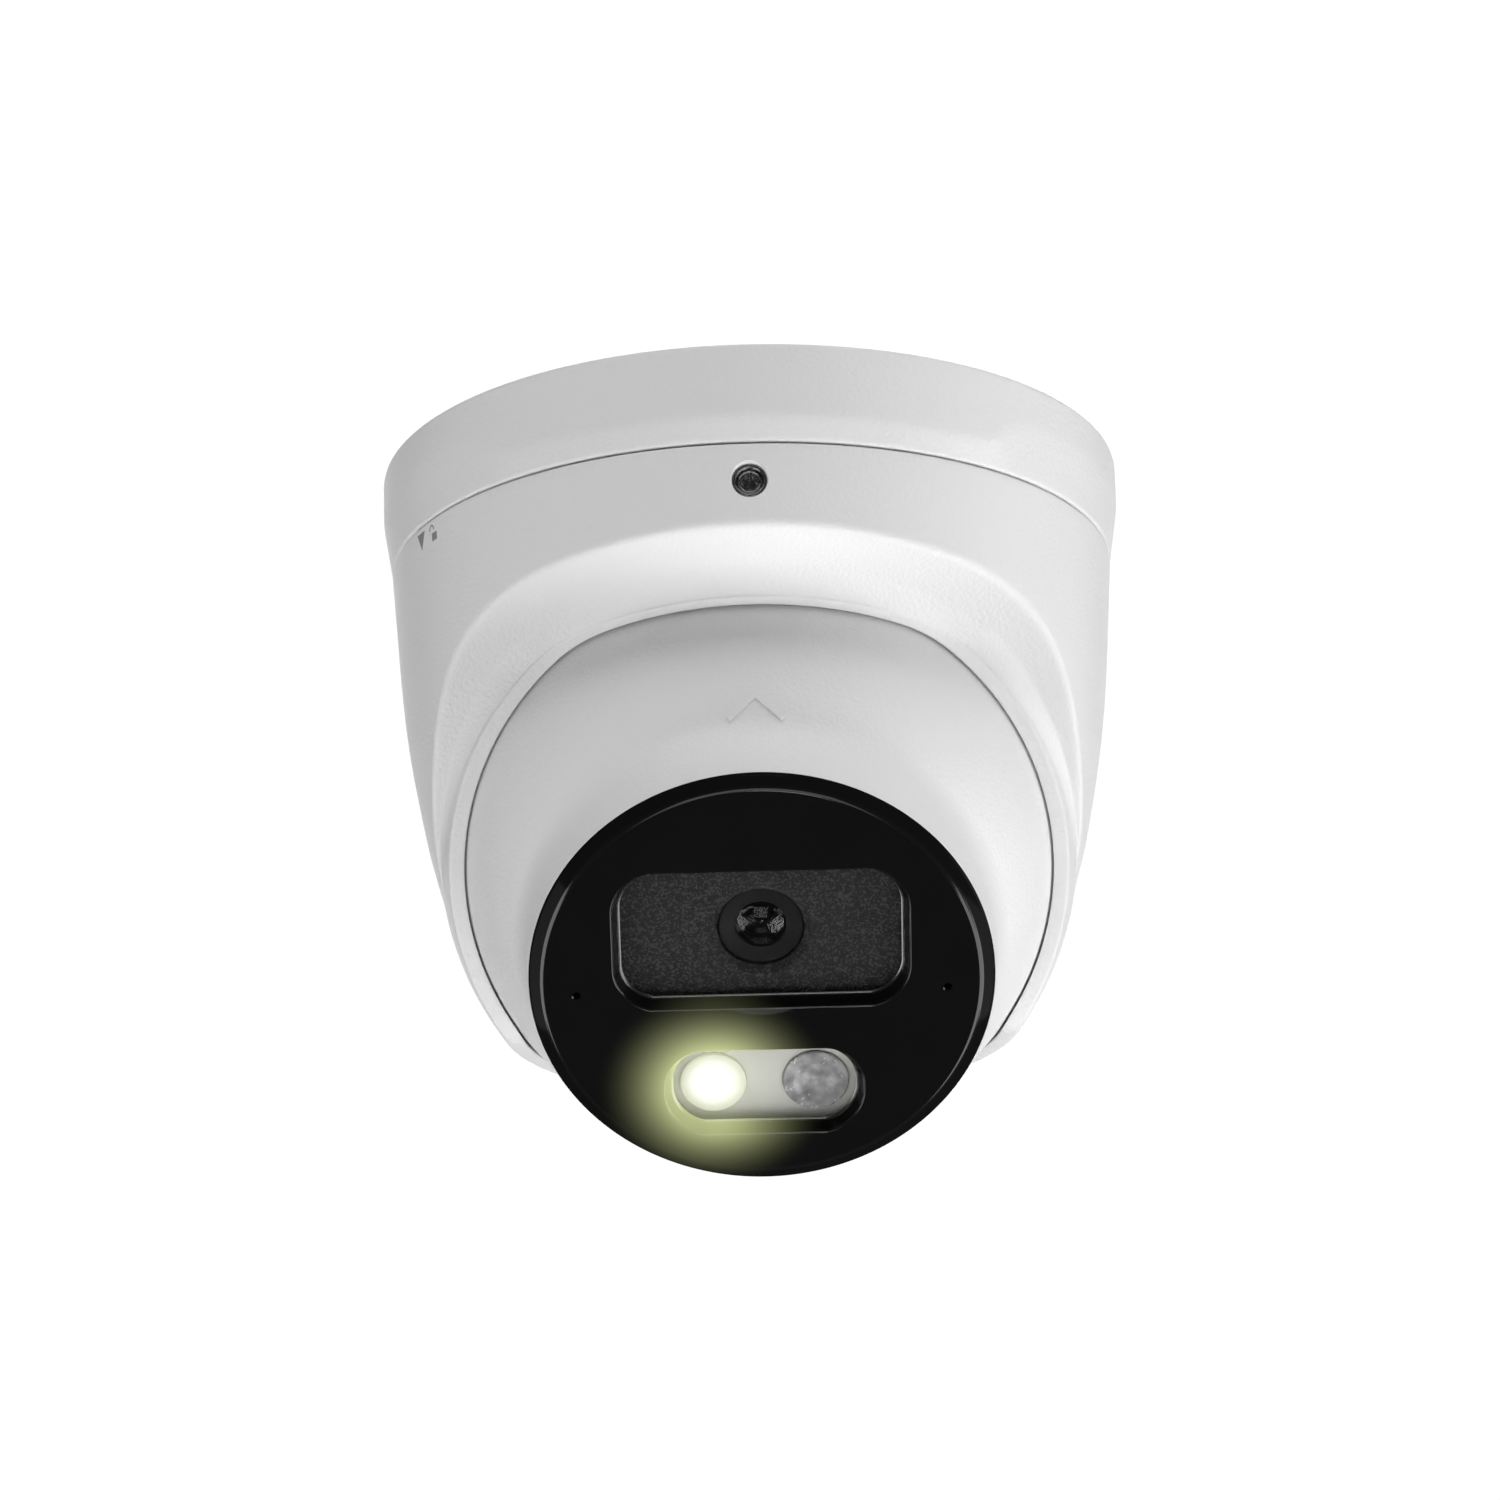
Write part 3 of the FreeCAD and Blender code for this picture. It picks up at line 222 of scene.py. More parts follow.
def finished(piece, body, material, nodes=(), matrix=WORLD, angle=40):
    """Places a piece, smooths it, gives it its body and its finish, and hides the nodes it stands for."""
    moved(piece, matrix)
    work_on(piece)
    bpy.ops.object.shade_smooth_by_angle(angle=math.radians(angle))
    weigh = piece.modifiers.new("weigh", "WEIGHTED_NORMAL")
    weigh.keep_sharp = True
    bpy.ops.object.modifier_apply(modifier=weigh.name)
    if not piece.data.materials:
        piece.data.materials.append(material)
    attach(piece, body)
    if nodes:
        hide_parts(*nodes)
    return piece


# Effects that several finishes share


def new_group(name, inputs, outputs):
    group = bpy.data.node_groups.new(name, "ShaderNodeTree")
    for label, kind, value in inputs:
        socket = group.interface.new_socket(name=label, in_out="INPUT", socket_type=kind)
        socket.default_value = value
    for label, kind in outputs:
        group.interface.new_socket(name=label, in_out="OUTPUT", socket_type=kind)
    start = group.nodes.new("NodeGroupInput")
    end = group.nodes.new("NodeGroupOutput")
    place = group.nodes.new("ShaderNodeTexCoord")
    return group, start, end, place.outputs["Object"]


FLOAT = "NodeSocketFloat"
COLOUR = "NodeSocketColor"
VECTOR = "NodeSocketVector"


def math_node(tree, kind, first, second):
    node = tree.nodes.new("ShaderNodeMath")
    node.operation = kind
    for number, value in enumerate((first, second)):
        if isinstance(value, (int, float)):
            node.inputs[number].default_value = value
        else:
            tree.links.new(value, node.inputs[number])
    return node.outputs[0]


def peel_group():
    """The skin of sprayed paint and of moulded plastic: small soft lumps, and a slow drift."""
    group, start, end, place = new_group(
        "surface_peel",
        [("Lumps", FLOAT, 1000.0), ("Fine Share", FLOAT, 0.3)],
        [("Height", FLOAT), ("Drift", FLOAT)],
    )
    lumps = group.nodes.new("ShaderNodeTexNoise")
    lumps.inputs["Detail"].default_value = 1.5
    fine = group.nodes.new("ShaderNodeTexNoise")
    fine.inputs["Detail"].default_value = 1.0
    drift = group.nodes.new("ShaderNodeTexNoise")
    drift.inputs["Scale"].default_value = 28.0
    for node in (lumps, fine, drift):
        group.links.new(place, node.inputs["Vector"])
    group.links.new(start.outputs["Lumps"], lumps.inputs["Scale"])
    finer = math_node(group, "MULTIPLY", start.outputs["Lumps"], 2.7)
    group.links.new(finer, fine.inputs["Scale"])
    share = math_node(group, "MULTIPLY", fine.outputs["Fac"], start.outputs["Fine Share"])
    total = math_node(group, "ADD", lumps.outputs["Fac"], share)
    group.links.new(total, end.inputs["Height"])
    group.links.new(drift.outputs["Fac"], end.inputs["Drift"])
    return group


def tone_group():
    """Two close tones that wander over a surface, with a patch size of its own."""
    group, start, end, place = new_group(
        "two_tones",
        [("Patches", FLOAT, 60.0), ("Contrast", FLOAT, 1.0), ("Tone A", COLOUR, (0.8, 0.8, 0.8, 1)),
         ("Tone B", COLOUR, (0.75, 0.75, 0.75, 1))],
        [("Color", COLOUR), ("Mask", FLOAT)],
    )
    noise = group.nodes.new("ShaderNodeTexNoise")
    noise.inputs["Detail"].default_value = 4.0
    group.links.new(place, noise.inputs["Vector"])
    group.links.new(start.outputs["Patches"], noise.inputs["Scale"])
    centred = math_node(group, "SUBTRACT", noise.outputs["Fac"], 0.5)
    strong = math_node(group, "MULTIPLY", centred, start.outputs["Contrast"])
    mask = math_node(group, "ADD", strong, 0.5)
    mix = group.nodes.new("ShaderNodeMix")
    mix.data_type = "RGBA"
    group.links.new(mask, mix.inputs["Factor"])
    group.links.new(start.outputs["Tone A"], mix.inputs["A"])
    group.links.new(start.outputs["Tone B"], mix.inputs["B"])
    group.links.new(mix.outputs["Result"], end.inputs["Color"])
    group.links.new(mask, end.inputs["Mask"])
    return group


def speckle_group():
    """Flakes in a coating: a share of small cells is bright, the rest dark."""
    group, start, end, place = new_group(
        "speckle",
        [("Cells", FLOAT, 3000.0), ("Share", FLOAT, 0.2)],
        [("Mask", FLOAT), ("Cell Tone", FLOAT)],
    )
    cells = group.nodes.new("ShaderNodeTexVoronoi")
    group.links.new(place, cells.inputs["Vector"])
    group.links.new(start.outputs["Cells"], cells.inputs["Scale"])
    split = group.nodes.new("ShaderNodeSeparateColor")
    group.links.new(cells.outputs["Color"], split.inputs["Color"])
    mask = math_node(group, "LESS_THAN", split.outputs["Red"], start.outputs["Share"])
    group.links.new(mask, end.inputs["Mask"])
    group.links.new(split.outputs["Green"], end.inputs["Cell Tone"])
    return group


def turning_group():
    """Fine lines left by a tool: noise drawn out along one axis."""
    group, start, end, place = new_group(
        "tool_lines", [("Stretch", VECTOR, (1.0, 1.0, 40.0)), ("Lines", FLOAT, 800.0)], [("Height", FLOAT)]
    )
    mapping = group.nodes.new("ShaderNodeVectorMath")
    mapping.operation = "MULTIPLY"
    group.links.new(place, mapping.inputs[0])
    group.links.new(start.outputs["Stretch"], mapping.inputs[1])
    noise = group.nodes.new("ShaderNodeTexNoise")
    group.links.new(mapping.outputs["Vector"], noise.inputs["Vector"])
    group.links.new(start.outputs["Lines"], noise.inputs["Scale"])
    group.links.new(noise.outputs["Fac"], end.inputs["Height"])
    return group


def glow_group():
    """How near a point is to a lamp: 1 at its middle, falling softly to 0 at its reach. It shapes the lit
    lamp's own emission, and the painted glow round it on the face and the tray.
    """
    group, start, end, place = new_group(
        "lamp_glow",
        [("Middle", VECTOR, (0.0, 0.0, 0.0)), ("Reach", FLOAT, 0.02), ("Fall", FLOAT, 2.0)],
        [("Mask", FLOAT)],
    )
    gap = group.nodes.new("ShaderNodeVectorMath")
    gap.operation = "DISTANCE"
    group.links.new(place, gap.inputs[0])
    group.links.new(start.outputs["Middle"], gap.inputs[1])
    share = math_node(group, "DIVIDE", gap.outputs["Value"], start.outputs["Reach"])
    near = math_node(group, "SUBTRACT", 1.0, share)
    kept = math_node(group, "MAXIMUM", near, 0.0)
    mask = math_node(group, "POWER", kept, start.outputs["Fall"])
    group.links.new(mask, end.inputs["Mask"])
    return group


PEEL = peel_group()
TONES = tone_group()
SPECKLE = speckle_group()
TOOL_LINES = turning_group()
GLOW = glow_group()


# Finishes


def new_finish(name):
    material = bpy.data.materials.new(name)
    material.use_nodes = True
    tree = material.node_tree
    return material, tree, tree.nodes["Principled BSDF"]


def add_group(tree, group, **values):
    node = tree.nodes.new("ShaderNodeGroup")
    node.node_tree = group
    for label, value in values.items():
        node.inputs[label.replace("_", " ")].default_value = value
    return node


def grey(level):
    return (level, level, level, 1)


def spread(tree, source, low, high):
    """A value from low to high as source goes from 0.3 to 0.7."""
    node = tree.nodes.new("ShaderNodeMapRange")
    node.inputs["From Min"].default_value = 0.3
    node.inputs["From Max"].default_value = 0.7
    node.inputs["To Min"].default_value = low
    node.inputs["To Max"].default_value = high
    tree.links.new(source, node.inputs["Value"])
    return node.outputs["Result"]


def bumped(tree, shader, height, distance, strength=1.0):
    bump = tree.nodes.new("ShaderNodeBump")
    bump.inputs["Distance"].default_value = distance * MM
    bump.inputs["Strength"].default_value = strength
    tree.links.new(height, bump.inputs["Height"])
    tree.links.new(bump.outputs["Normal"], shader.inputs["Normal"])
    return bump


def solid_finish(name, tones, rough, peel, patches=60.0, metallic=0.0, level=0.5, coat=0.0):
    """An opaque finish: two tones, a roughness range, and peel as (lumps per metre, depth)."""
    material, tree, shader = new_finish(name)
    tone = add_group(tree, TONES, Patches=patches, Tone_A=tones[0], Tone_B=tones[1])
    tree.links.new(tone.outputs["Color"], shader.inputs["Base Color"])
    skin = add_group(tree, PEEL, Lumps=peel[0])
    tree.links.new(spread(tree, skin.outputs["Drift"], *rough), shader.inputs["Roughness"])
    shader.inputs["Metallic"].default_value = metallic
    shader.inputs["Specular IOR Level"].default_value = level
    shader.inputs["Coat Weight"].default_value = coat
    bumped(tree, shader, skin.outputs["Height"], peel[1])
    return material


def metal_finish(name, tones, rough, lines, depth):
    material, tree, shader = new_finish(name)
    tone = add_group(tree, TONES, Patches=400.0, Tone_A=tones[0], Tone_B=tones[1])
    tree.links.new(tone.outputs["Color"], shader.inputs["Base Color"])
    tree.links.new(spread(tree, tone.outputs["Mask"], *rough), shader.inputs["Roughness"])
    shader.inputs["Metallic"].default_value = 1.0
    marks = add_group(tree, TOOL_LINES, Lines=lines)
    bumped(tree, shader, marks.outputs["Height"], depth)
    return material


def sparkle_finish():
    """Dark grey coating full of fine flakes, round the lens."""
    material, tree, shader = new_finish("sparkle_coating")
    flakes = add_group(tree, SPECKLE, Cells=3600.0, Share=0.3)
    tone = add_group(tree, TONES, Patches=2600.0, Contrast=1.6, Tone_A=grey(0.011), Tone_B=grey(0.021))
    mix = tree.nodes.new("ShaderNodeMix")
    mix.data_type = "RGBA"
    tree.links.new(flakes.outputs["Mask"], mix.inputs["Factor"])
    tree.links.new(tone.outputs["Color"], mix.inputs["A"])
    mix.inputs["B"].default_value = grey(0.036)
    shader.inputs["Specular IOR Level"].default_value = 0.03
    tree.links.new(mix.outputs["Result"], shader.inputs["Base Color"])
    tree.links.new(spread(tree, flakes.outputs["Cell Tone"], 0.4, 0.7), shader.inputs["Roughness"])
    bumped(tree, shader, flakes.outputs["Cell Tone"], 0.02)
    return material


def clear_finish(name, index, tint, rough=0.0, haze=(700.0, 0.002)):
    """Clear plastic or glass, which lets the lights through to what is behind it."""
    material, tree, shader = new_finish(name)
    shader.inputs["Transmission Weight"].default_value = 1.0
    shader.inputs["IOR"].default_value = index
    shader.inputs["Metallic"].default_value = 0.0
    skin = add_group(tree, PEEL, Lumps=haze[0])
    tone = add_group(tree, TONES, Patches=120.0, Tone_A=tint[0], Tone_B=tint[1])
    tree.links.new(tone.outputs["Color"], shader.inputs["Base Color"])
    tree.links.new(spread(tree, skin.outputs["Drift"], rough, rough + 0.02), shader.inputs["Roughness"])
    bumped(tree, shader, skin.outputs["Height"], haze[1])
    lamp = tree.nodes.new("ShaderNodeBsdfTransparent")
    lamp.inputs["Color"].default_value = tint[0]
    path = tree.nodes.new("ShaderNodeLightPath")
    mix = tree.nodes.new("ShaderNodeMixShader")
    tree.links.new(path.outputs["Is Shadow Ray"], mix.inputs["Fac"])
    tree.links.new(shader.outputs["BSDF"], mix.inputs[1])
    tree.links.new(lamp.outputs["BSDF"], mix.inputs[2])
    tree.links.new(mix.outputs["Shader"], tree.nodes["Material Output"].inputs["Surface"])
    return material


# Middle and colour of the painted glow: emission on the face and on the tray that stands in for the lit
# lamp's light falling on them.
PAINTED_GLOW_MIDDLE = BALL @ (Vector((-7.9, -19.4, 44.5)) * MM)
PAINTED_GLOW_COLOUR = (0.86, 0.93, 0.42, 1)


def face_finish(name, level, rough):
    """Piano-black moulding. Near the lit lamp a painted glow, emission in the lamp's colour, stands in for
    the lamp's light on it.
    """
    material, tree, shader = new_finish(name)
    tone = add_group(tree, TONES, Patches=90.0, Tone_A=grey(0.0046), Tone_B=grey(0.0058))
    tree.links.new(tone.outputs["Color"], shader.inputs["Base Color"])
    skin = add_group(tree, PEEL, Lumps=220.0)
    tree.links.new(spread(tree, skin.outputs["Drift"], rough, rough + 0.03), shader.inputs["Roughness"])
    shader.inputs["Specular IOR Level"].default_value = level
    bumped(tree, shader, skin.outputs["Height"], 0.003)
    # Painted glow: emission in the lamp's colour, strongest near the lit lamp, stands in for its light on
    # this black moulding.
    near = add_group(tree, GLOW, Middle=PAINTED_GLOW_MIDDLE, Reach=19.5 * MM, Fall=2.8)
    wide = add_group(tree, TONES, Patches=40.0, Tone_A=PAINTED_GLOW_COLOUR, Tone_B=(0.9, 0.95, 0.5, 1))
    shade = tree.nodes.new("ShaderNodeMix")
    shade.data_type = "RGBA"
    shade.inputs["A"].default_value = (0, 0, 0, 1)
    tree.links.new(near.outputs["Mask"], shade.inputs["Factor"])
    tree.links.new(wide.outputs["Color"], shade.inputs["B"])
    tree.links.new(shade.outputs["Result"], shader.inputs["Emission Color"])
    shader.inputs["Emission Strength"].default_value = 2.3
    return material


def streaked_finish(name):
    """Moulded clear plastic with streaked roughness. Bright and dark patches in its base colour are painted
    reflections standing in for light caught in its facets.
    """
    material, tree, shader = new_finish(name)
    streaks = add_group(tree, TOOL_LINES, Stretch=(1.0, 0.3, 1.0), Lines=900.0)
    tree.links.new(spread(tree, streaks.outputs["Height"], 0.05, 0.3), shader.inputs["Roughness"])
    # Painted reflection: the bright and dark base-colour patches stand in for the facets catching light.
    tone = add_group(tree, TONES, Patches=420.0, Contrast=2.0, Tone_A=grey(0.55), Tone_B=grey(0.14))
    tree.links.new(tone.outputs["Color"], shader.inputs["Base Color"])
    shader.inputs["Transmission Weight"].default_value = 0.45
    shader.inputs["IOR"].default_value = 1.4
    shader.inputs["Metallic"].default_value = 0.0
    bumped(tree, shader, streaks.outputs["Height"], 0.06)
    return material


def lamp_finish(name, core, fringe, strength, reach):
    """A lit optic: white at its middle, yellow-green towards its rim."""
    material, tree, shader = new_finish(name)
    middle = BALL @ (Vector((-8.2, -20.4, 40.5)) * MM)
    near = add_group(tree, GLOW, Middle=middle, Reach=reach * MM, Fall=1.5)
    shade = tree.nodes.new("ShaderNodeMix")
    shade.data_type = "RGBA"
    shade.inputs["A"].default_value = fringe
    shade.inputs["B"].default_value = core
    tree.links.new(near.outputs["Mask"], shade.inputs["Factor"])
    tree.links.new(shade.outputs["Result"], shader.inputs["Emission Color"])
    shader.inputs["Emission Strength"].default_value = strength
    tone = add_group(tree, TONES, Patches=300.0, Tone_A=grey(0.3), Tone_B=grey(0.26))
    tree.links.new(tone.outputs["Color"], shader.inputs["Base Color"])
    return material


def tray_finish():
    """Cream-white moulding, with a painted glow near the lit lamp: emission that stands in for the lamp's
    light falling on it from one side.
    """
    material, tree, shader = new_finish("tray_plastic")
    cream, shade_cream = (0.42, 0.42, 0.39, 1), (0.37, 0.37, 0.345, 1)
    tone = add_group(tree, TONES, Patches=150.0, Tone_A=cream, Tone_B=shade_cream)
    tree.links.new(tone.outputs["Color"], shader.inputs["Base Color"])
    skin = add_group(tree, PEEL, Lumps=1600.0)
    tree.links.new(spread(tree, skin.outputs["Drift"], 0.4, 0.5), shader.inputs["Roughness"])
    bumped(tree, shader, skin.outputs["Height"], 0.01)
    # Painted light: emission near the lit lamp stands in for the light it throws on the tray.
    near = add_group(tree, GLOW, Middle=PAINTED_GLOW_MIDDLE, Reach=19 * MM, Fall=2.6)
    shade = tree.nodes.new("ShaderNodeMix")
    shade.data_type = "RGBA"
    shade.inputs["A"].default_value = (0, 0, 0, 1)
    shade.inputs["B"].default_value = (0.95, 1.0, 0.62, 1)
    tree.links.new(near.outputs["Mask"], shade.inputs["Factor"])
    tree.links.new(shade.outputs["Result"], shader.inputs["Emission Color"])
    shader.inputs["Emission Strength"].default_value = 0.45
    return material


white_tones = (grey(0.80), grey(0.775))
paint = solid_finish("white_paint_coat", white_tones, (0.42, 0.52), (1500.0, 0.12), 14.0, level=0.45)
deep_tones = (grey(0.0035), grey(0.006))
moulding = solid_finish("dark_moulding", deep_tones, (0.42, 0.55), (2200.0, 0.012), level=0.1)
dark_chip_tones = (grey(0.05), grey(0.1))
pane_tints = (grey(0.97), grey(0.95))
coated_tints = ((0.4, 0.41, 0.45, 1), (0.37, 0.39, 0.43, 1))
brass_tones = ((0.78, 0.58, 0.28, 1), (0.66, 0.48, 0.22, 1))
board_tones = ((0.01, 0.11, 0.05, 1), (0.015, 0.14, 0.06, 1))
lamp_core = (1, 1, 0.92, 1)
lamp_fringe = (0.95, 1.0, 0.5, 1)
finish = {
    "white_paint": paint,
    "black_gloss": face_finish("black_face_gloss", 0.022, 0.05),
    "dark_plastic": moulding,
    "clear_pane": clear_finish("window_pane_clear", 1.24, pane_tints),
    "lens_glass": clear_finish("lens_glass_coated", 1.3, coated_tints, haze=(400.0, 0.0003)),
    "sparkle_grey": sparkle_finish(),
    "steel": metal_finish("plain_steel", (grey(0.62), grey(0.5)), (0.25, 0.4), 900.0, 0.01),
    "dark_steel": metal_finish("blackened_steel", (grey(0.26), grey(0.16)), (0.18, 0.32), 1200.0, 0.012),
    "cast_zinc": metal_finish("cast_zinc_skin", (grey(0.5), grey(0.42)), (0.4, 0.6), 500.0, 0.03),
    "bare_aluminium": metal_finish("milled_aluminium", (grey(0.82), grey(0.74)), (0.25, 0.4), 900.0, 0.015),
    "brass": metal_finish("turned_brass", brass_tones, (0.25, 0.4), 900.0, 0.015),
    "black_rubber": solid_finish("soft_rubber", (grey(0.018), grey(0.03)), (0.65, 0.85), (1800.0, 0.03)),
    "circuit_board": solid_finish("board_lacquer", board_tones, (0.3, 0.42), (900.0, 0.02), 350.0),
    "chip_black": solid_finish("chip_moulding", (grey(0.022), grey(0.032)), (0.5, 0.65), (3000.0, 0.012)),
    "thermal_grey": solid_finish("thermal_putty", (grey(0.34), grey(0.28)), (0.7, 0.85), (1500.0, 0.03)),
    "white_plastic": tray_finish(),
    "light_optic": clear_finish("optic_clear", 1.49, (grey(0.98), grey(0.95))),
    "lit_led": lamp_finish("lamp_chip_lit", lamp_core, lamp_fringe, 9.0, 6.0),
    "dark_led": solid_finish("lamp_chip_dark", dark_chip_tones, (0.15, 0.25), (2500.0, 0.01), 900.0),
}
edge_gloss = face_finish("black_edge_gloss", 0.32, 0.08)
line_gloss = face_finish("black_line_gloss", 1.0, 0.24)
print_grey = solid_finish("print_ink", (grey(0.24), grey(0.28)), (0.5, 0.6), (3500.0, 0.006), 900.0)

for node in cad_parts.values():
    for holder in node.material_slots:
        holder.material = finish[holder.material.name.split(".")[0]]


# The base: a waved band round its skirt


def eased(t):
    t = min(max(t, 0.0), 1.0)
    return t * t * (3 - 2 * t)


def crease_depth(azimuth):
    """How far down the base's crease runs: low in front and behind, high at the sides."""
    from_side = abs(math.degrees(math.asin(math.sin(azimuth))))
    return 7.0 + 5.2 * eased((from_side - 42.0) / 10.0)


def between(first, last, steps):
    """Points from first to last, without either end."""
    return [first.lerp(last, step / steps) for step in range(1, steps)]


def base_outline(azimuth):
    crease = Vector((61.0, -crease_depth(azimuth)))
    seam = Vector((59.6, -16.1))
    down = (seam - crease).normalized()
    start = crease + Vector((0, 1.1))
    end = crease + down * 1.1
    low = seam - down * 0.5
    points = [Vector((60.2, 0.0)), Vector((60.65, -0.12)), Vector((60.9, -0.38)), Vector((61.0, -0.8))]
    points += between(Vector((61.0, -0.8)), start, 5)
    points += bend_points(start, crease, end, 6)
    points += between(end, low, 6)
    points += bend_points(low, seam, seam - Vector((0.5, 0)), 4)
    points += [Vector((57.2, -16.1)), Vector((58.2, -3.5)), Vector((46.5, -3.5)), Vector((46.5, -11.7)),
               Vector((42.5, -11.7)), Vector((42.5, -3.5)), Vector((11.3, -3.5)), Vector((11.0, -3.2)),
               Vector((11.0, -0.3)), Vector((11.3, 0.0)), Vector((14.0, 0.0))]
    return points


BASE_SCREW_RING = 36
BASE_SCREWS = (90, 210, 330)


def make_base():
    rows = len(base_outline(0))
    base = curtain("base_casting", rows, base_outline, 360)
    pocket = spun("pocket", soft([(15, -1.5, 0.3), (41, -1.5, 0.3), (41.3, 1, 0), (14.7, 1, 0)], 3), 128)
    screw_places = []
    for degrees in BASE_SCREWS:
        angle = math.radians(degrees)
        screw_places.append((BASE_SCREW_RING * math.cos(angle), BASE_SCREW_RING * math.sin(angle)))
    kept = [rod("boss", 6.5, -2, 2, place, 64) for place in screw_places]
    for number in range(6):
        turn = math.radians(60 * number)
        kept.append(block("rib", (28 * math.cos(turn), 28 * math.sin(turn), 0), (34, 2, 4), (0, 0, turn)))
    cut(base, cut(pocket, *kept))
    for place in screw_places:
        cut(base, rod("hole", 2.3, -6, -0.3, place, 48, flare=0.4))
    finished(base, "base", paint, ["mounting_base"])


# The housing: a tapered wall, a straight visor cut, and a collar round the ball

WALL = [(59.6, -16.4), (58.9, -26.0), (58.0, -38.0), (56.8, -48.0), (55.4, -56.0), (53.8, -64.0),
        (52.5, -69.0), (50.0, -78.0)]
WALL_TOP = -17.0
WALL_THICK = 2.4
COLLAR = 52.3
SOCKET = 49.9
SOCKET_TOP = -58.5
LOWEST = -110.0


def side_line(corners, bends, y):
    """Height of a side-view line at y: straight runs, with a round bend at each inner corner."""
    if y >= corners[-1][0]:
        return -140.0
    height = None
    for first, last in zip(corners, corners[1:]):
        if y <= last[0]:
            share = (y - first[0]) / (last[0] - first[0])
            height = first[1] + share * (last[1] - first[1])
            break
    for number, radius in enumerate(bends, 1):
        before = Vector(corners[number - 1])
        here = Vector(corners[number])
        after = Vector(corners[number + 1])
        back = (before - here).normalized()
        ahead = (after - here).normalized()
        half = back.angle(ahead) / 2
        reach = radius / math.tan(half)
        first = here + back * reach
        last = here + ahead * reach
        if first.x < y < last.x:
            middle = here + (back + ahead).normalized() * (radius / math.sin(half))
            rise = math.sqrt(radius**2 - (y - middle.x) ** 2)
            height = middle.y + (rise if middle.y < here.y else -rise)
    return height


def visor_height(y):
    return side_line([(-80, -24.2), (-35.6, -36.2), (5.0, -83.3)], [44.0], y)


def opening_height(y):
    return side_line([(-80, -25.7), (-34, -40), (2.6, -95), (80, -95)], [8.0, 6.0], y)


def wall_radius(z):
    """Radius of the tapered wall, eased between its corners."""
    depths = [-height for _, height in WALL]
    number = min(max(bisect.bisect(depths, -z) - 1, 0), len(WALL) - 2)
    (r0, z0), (r1, z1) = WALL[number], WALL[number + 1]
    before = WALL[max(number - 1, 0)]
    after = WALL[min(number + 2, len(WALL) - 1)]
    lean0 = (r1 - before[0]) / (z1 - before[1])
    lean1 = (after[0] - r0) / (after[1] - z0)
    span = z1 - z0
    t = (z - z0) / span
    return ((2 * t**3 - 3 * t**2 + 1) * r0 + (t**3 - 2 * t**2 + t) * span * lean0
            + (3 * t**2 - 2 * t**3) * r1 + (t**3 - t**2) * span * lean1)


def globe_radius(radius, z):
    return math.sqrt(max(radius**2 - (z + BALL_DROP) ** 2, 0.0))


def crossing(gap, high, low):
    """Where gap(z), positive at high, becomes negative on the way down to low."""
    if gap(low) > 0:
        return low
    for _ in range(40):
        middle = (high + low) / 2
        if gap(middle) > 0:
            high = middle
        else:
            low = middle
    return (high + low) / 2


JOIN = crossing(lambda z: wall_radius(z) - globe_radius(COLLAR, z), -64.0, -78.0)


